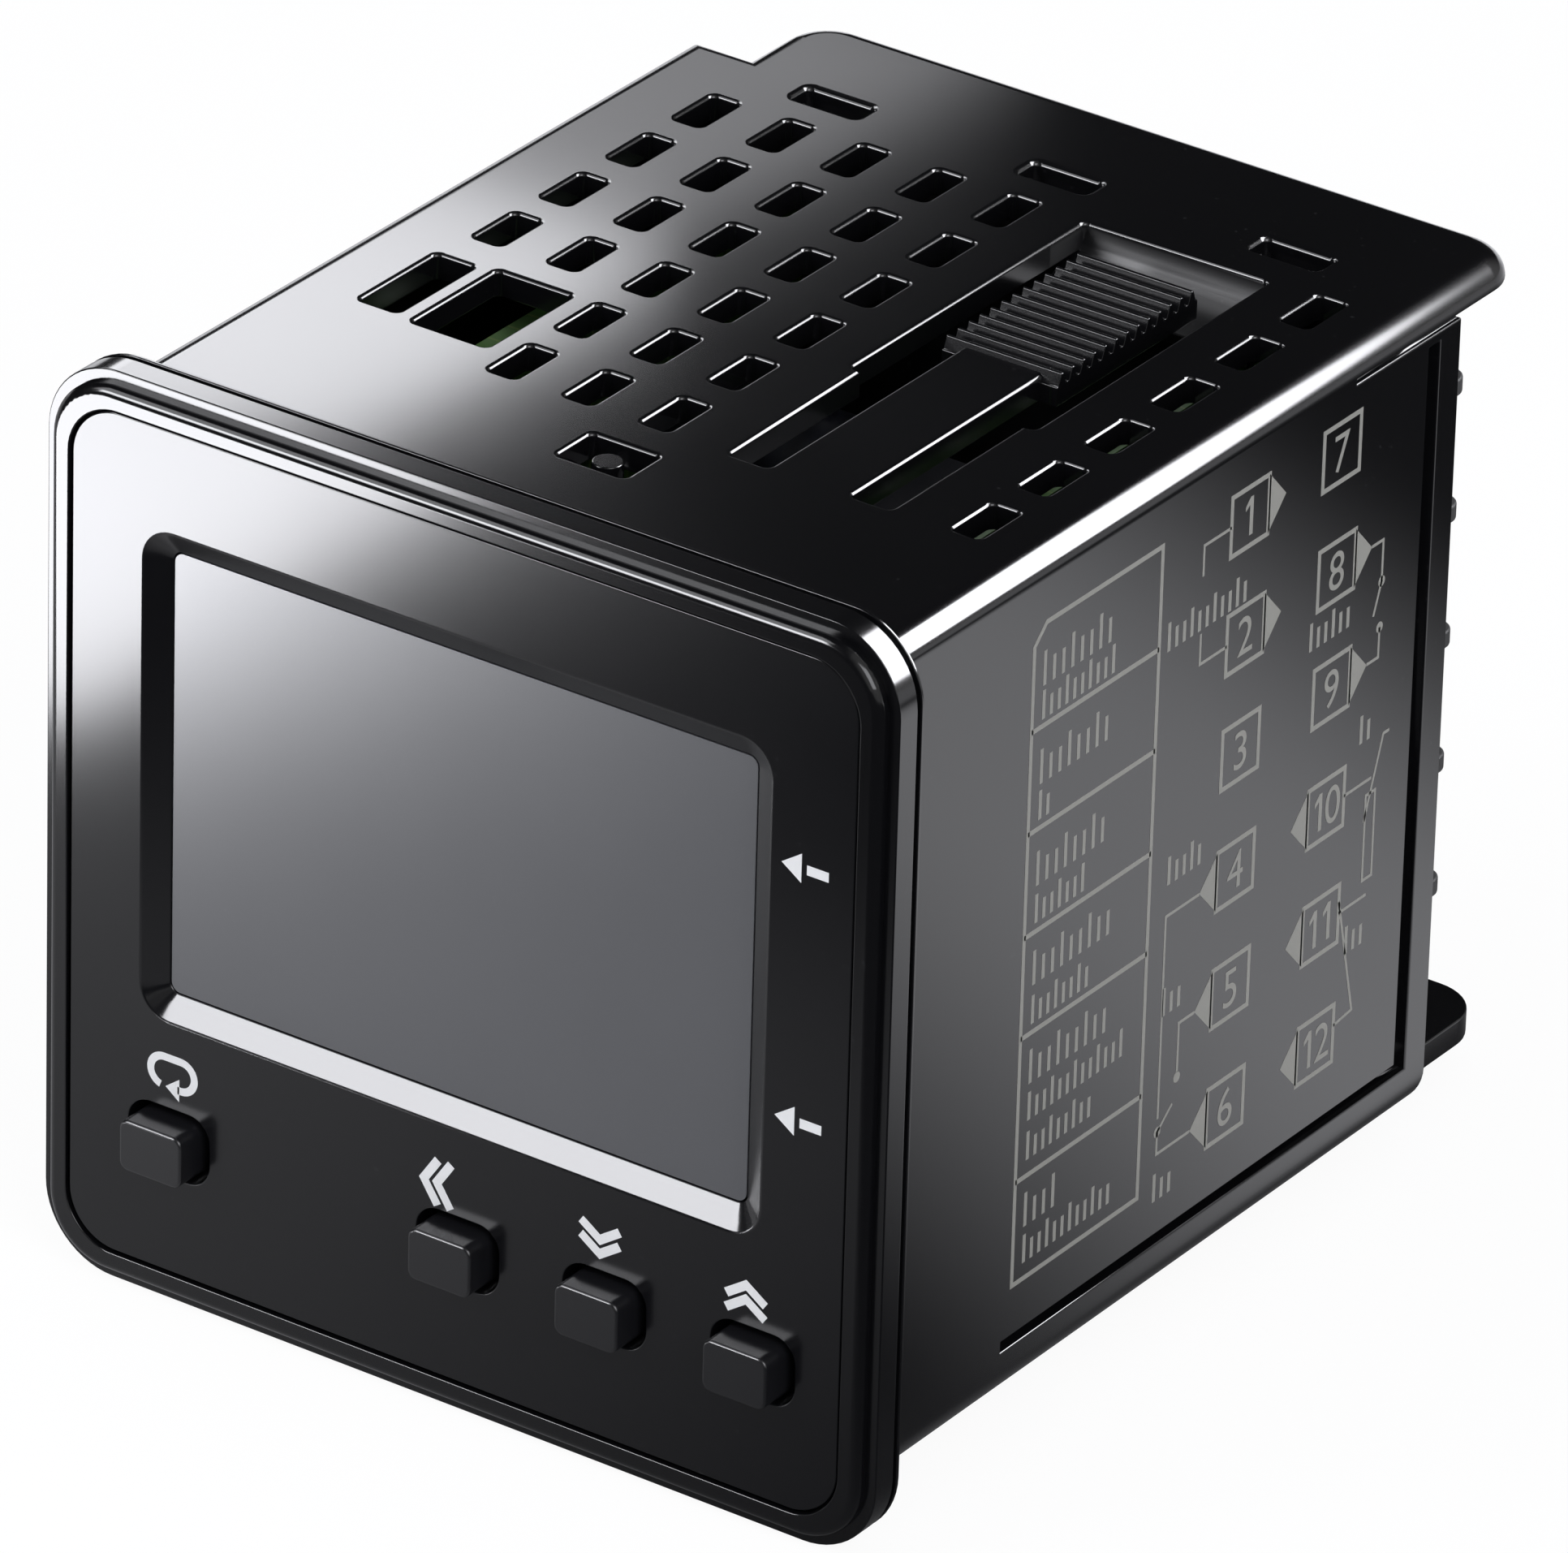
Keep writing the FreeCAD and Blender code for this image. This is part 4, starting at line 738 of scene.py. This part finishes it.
def seenBy(tree, first, gloss, direct, out):
    # one look for light that bounces, one for gloss, and one for the camera and what looks through the pane
    ray = tree.nodes.new("ShaderNodeLightPath")
    clear = math2(tree, "MAXIMUM", ray.outputs["Is Camera Ray"], ray.outputs["Is Transmission Ray"])
    for factor, other in ((ray.outputs["Is Glossy Ray"], gloss), (clear, direct)):
        mix = tree.nodes.new("ShaderNodeMixShader")
        link(tree, factor, mix.inputs[0])
        link(tree, first.outputs[0], mix.inputs[1])
        link(tree, other.outputs[0], mix.inputs[2])
        first = mix
    link(tree, first.outputs[0], out.inputs[0])


def floorGlow(tree, p):
    # what gloss sees on the floor: a glow on the left of the object, a pale rear and a soft band on the right
    runs = ("frontFade", "rightFade", "rearFade", "besideRise", "besideFall", "besideFrom")
    front, right, rear, rise, fall, start = (tuple(length * mm for length in p[name]) for name in runs)
    x, y, _ = axesOf(tree)
    near = rampBetween(tree, y, *front, 0.0, p["near"])
    near = math2(tree, "MULTIPLY", near, rampBetween(tree, x, *right, 1.0, 0.0))
    behind = rampBetween(tree, y, *rear, p["far"], p["rear"])
    across = math2(tree, "SUBTRACT", y, math2(tree, "MULTIPLY", x, p["besideLean"]))
    beside = rampBetween(tree, across, *rise, 0.0, p["beside"])
    beside = math2(tree, "MULTIPLY", beside, rampBetween(tree, across, *fall, 1.0, 0.0))
    beside = math2(tree, "MULTIPLY", beside, rampBetween(tree, x, *start, 0.0, 1.0))
    return math2(tree, "ADD", math2(tree, "ADD", near, behind), beside)


def paleFloor(p):
    # pale paper that keeps a soft shadow, white where it is seen directly, with a glow of its own in gloss
    material = bpy.data.materials.new("paleFloor")
    material.use_nodes = True
    tree = material.node_tree
    tree.nodes.clear()
    out = tree.nodes.new("ShaderNodeOutputMaterial")
    paper = tree.nodes.new("ShaderNodeBsdfDiffuse")
    paper.inputs["Color"].default_value = (*p["paper"], 1)
    faint = tree.nodes.new("ShaderNodeBsdfDiffuse")
    faint.inputs["Color"].default_value = (p["shadow"],) * 3 + (1,)
    white = tree.nodes.new("ShaderNodeEmission")
    white.inputs["Strength"].default_value = p["white"]
    direct = tree.nodes.new("ShaderNodeAddShader")
    link(tree, faint.outputs[0], direct.inputs[0])
    link(tree, white.outputs[0], direct.inputs[1])
    gloss = tree.nodes.new("ShaderNodeEmission")
    gloss.inputs["Color"].default_value = (*p["cool"], 1)
    link(tree, floorGlow(tree, p), gloss.inputs["Strength"])
    seenBy(tree, paper, gloss, direct, out)
    return material


def makeFloor(p):
    # one square, far wider than the picture
    reach, level = p["half"] * mm, p["floor"] * mm
    corners = [(-reach, -reach, level), (reach, -reach, level), (reach, reach, level), (-reach, reach, level)]
    floor = addMesh("floor", corners, [(0, 1, 2, 3)])
    floor.data.materials.append(paleFloor(p))


def makeWorld(p):
    # an even fill, white where it is seen directly; in gloss the room is dark on the left, open on the right
    world = bpy.data.worlds.new("softRoom")
    scene.world = world
    world.use_nodes = True
    tree = world.node_tree
    tree.nodes.clear()
    out = tree.nodes.new("ShaderNodeOutputWorld")
    fill, white, room = (tree.nodes.new("ShaderNodeBackground") for _ in range(3))
    white.inputs["Color"].default_value = (1, 1, 1, 1)
    fill.inputs["Color"].default_value = (*p["room"], 1)
    fill.inputs["Strength"].default_value = p["fill"]
    across = axesOf(tree, "Generated")[0]
    link(tree, rampBetween(tree, across, *p["openFrom"], p["dark"], p["open"]), room.inputs["Strength"])
    seenBy(tree, fill, room, white, out)


# each soft box: its centre, the point it faces, the run of one side, its sides in millimetres, its glow
softBoxes = {
    "key": {"at": (440, -210, 320), "to": (20, 10, 0), "along": (0, 0, 1), "size": (340, 340), "glow": 3.6},
    "fill": {"at": (-330, -330, 420), "to": (0, 10, 0), "along": (0, 0, 1), "size": (360, 360), "glow": 3.0},
    "overFront": {"at": (-326, -457, 256), "to": (0, 0, 0), "along": (0, 0.6, 0.8), "size": (230, 180),
                  "glow": 17.0, "glossOnly": True},
    "behindRight": {"at": (88, 98, 96), "to": (20, 10, 22), "along": (-0.7, 0.0, 0.7), "size": (80, 130),
                    "glow": 20.0, "glossOnly": True},
    "behindLeft": {"at": (-83, 72, 63), "to": (-83, 72, 0), "along": (0.06, 1, 0), "size": (54, 46),
                   "glow": 7.0, "glossOnly": True},
    "farLeft": {"at": (-81, 112, 63), "to": (-81, 112, 0), "along": (0.06, 1, 0), "size": (50, 36),
                "glow": 1.8, "glossOnly": True},
    "lowLeft": {"at": (-79, -72, -23.5), "to": (-79, -72, 100), "along": (0, 1, 0), "size": (48, 54),
                "glow": 18.0, "glossOnly": True},
}


def facing(right, up, at):
    # the place and turn of a lamp or camera that looks along its own minus Z, from millimetres
    turn = Matrix((right, up, right.cross(up))).transposed().to_4x4()
    return Matrix.Translation(Vector(at) * mm) @ turn


def makeSoftBox(name, p):
    # a rectangular lamp turned to its point; its power grows with its area, so that its glow stays the same
    light = bpy.data.lights.new(name, "AREA")
    light.shape = "RECTANGLE"
    light.color = stageLook["cool"]
    light.size, light.size_y = (length * mm for length in p["size"])
    light.energy = p["glow"] * light.size * light.size_y * math.pi
    lamp = bpy.data.objects.new(name, light)
    back = (Vector(p["at"]) - Vector(p["to"])).normalized()
    along = Vector(p["along"])
    along = (along - along.dot(back) * back).normalized()
    lamp.matrix_world = facing(along.cross(back), along, p["at"])
    lamp.visible_camera = False
    lamp.visible_diffuse = not p.get("glossOnly", False)
    scene.collection.objects.link(lamp)


# where the camera stands in millimetres, the way its picture's right and top edges run, its lens and sensor
view = {
    "eye": (382.76, -534.90, 361.04), "right": (0.81716, 0.57586, 0.02509), "up": (-0.29, 0.37312, 0.8813),
    "lens": 373.1, "sensor": 36.0, "clip": (0.05, 20.0),
}


def makeCamera(p):
    data = bpy.data.cameras.new("studioCamera")
    data.sensor_width = p["sensor"]
    data.lens = p["lens"]
    data.clip_start, data.clip_end = p["clip"]
    camera = bpy.data.objects.new("studioCamera", data)
    camera.matrix_world = facing(Vector(p["right"]).normalized(), Vector(p["up"]).normalized(), p["eye"])
    scene.collection.objects.link(camera)
    scene.camera = camera


makeFloor(stageLook)
makeWorld(stageLook)
for name, choices in softBoxes.items():
    makeSoftBox(name, choices)
makeCamera(view)
scene.view_settings.view_transform = "Standard"
print("stage set: floor, room and", len(softBoxes), "soft boxes")
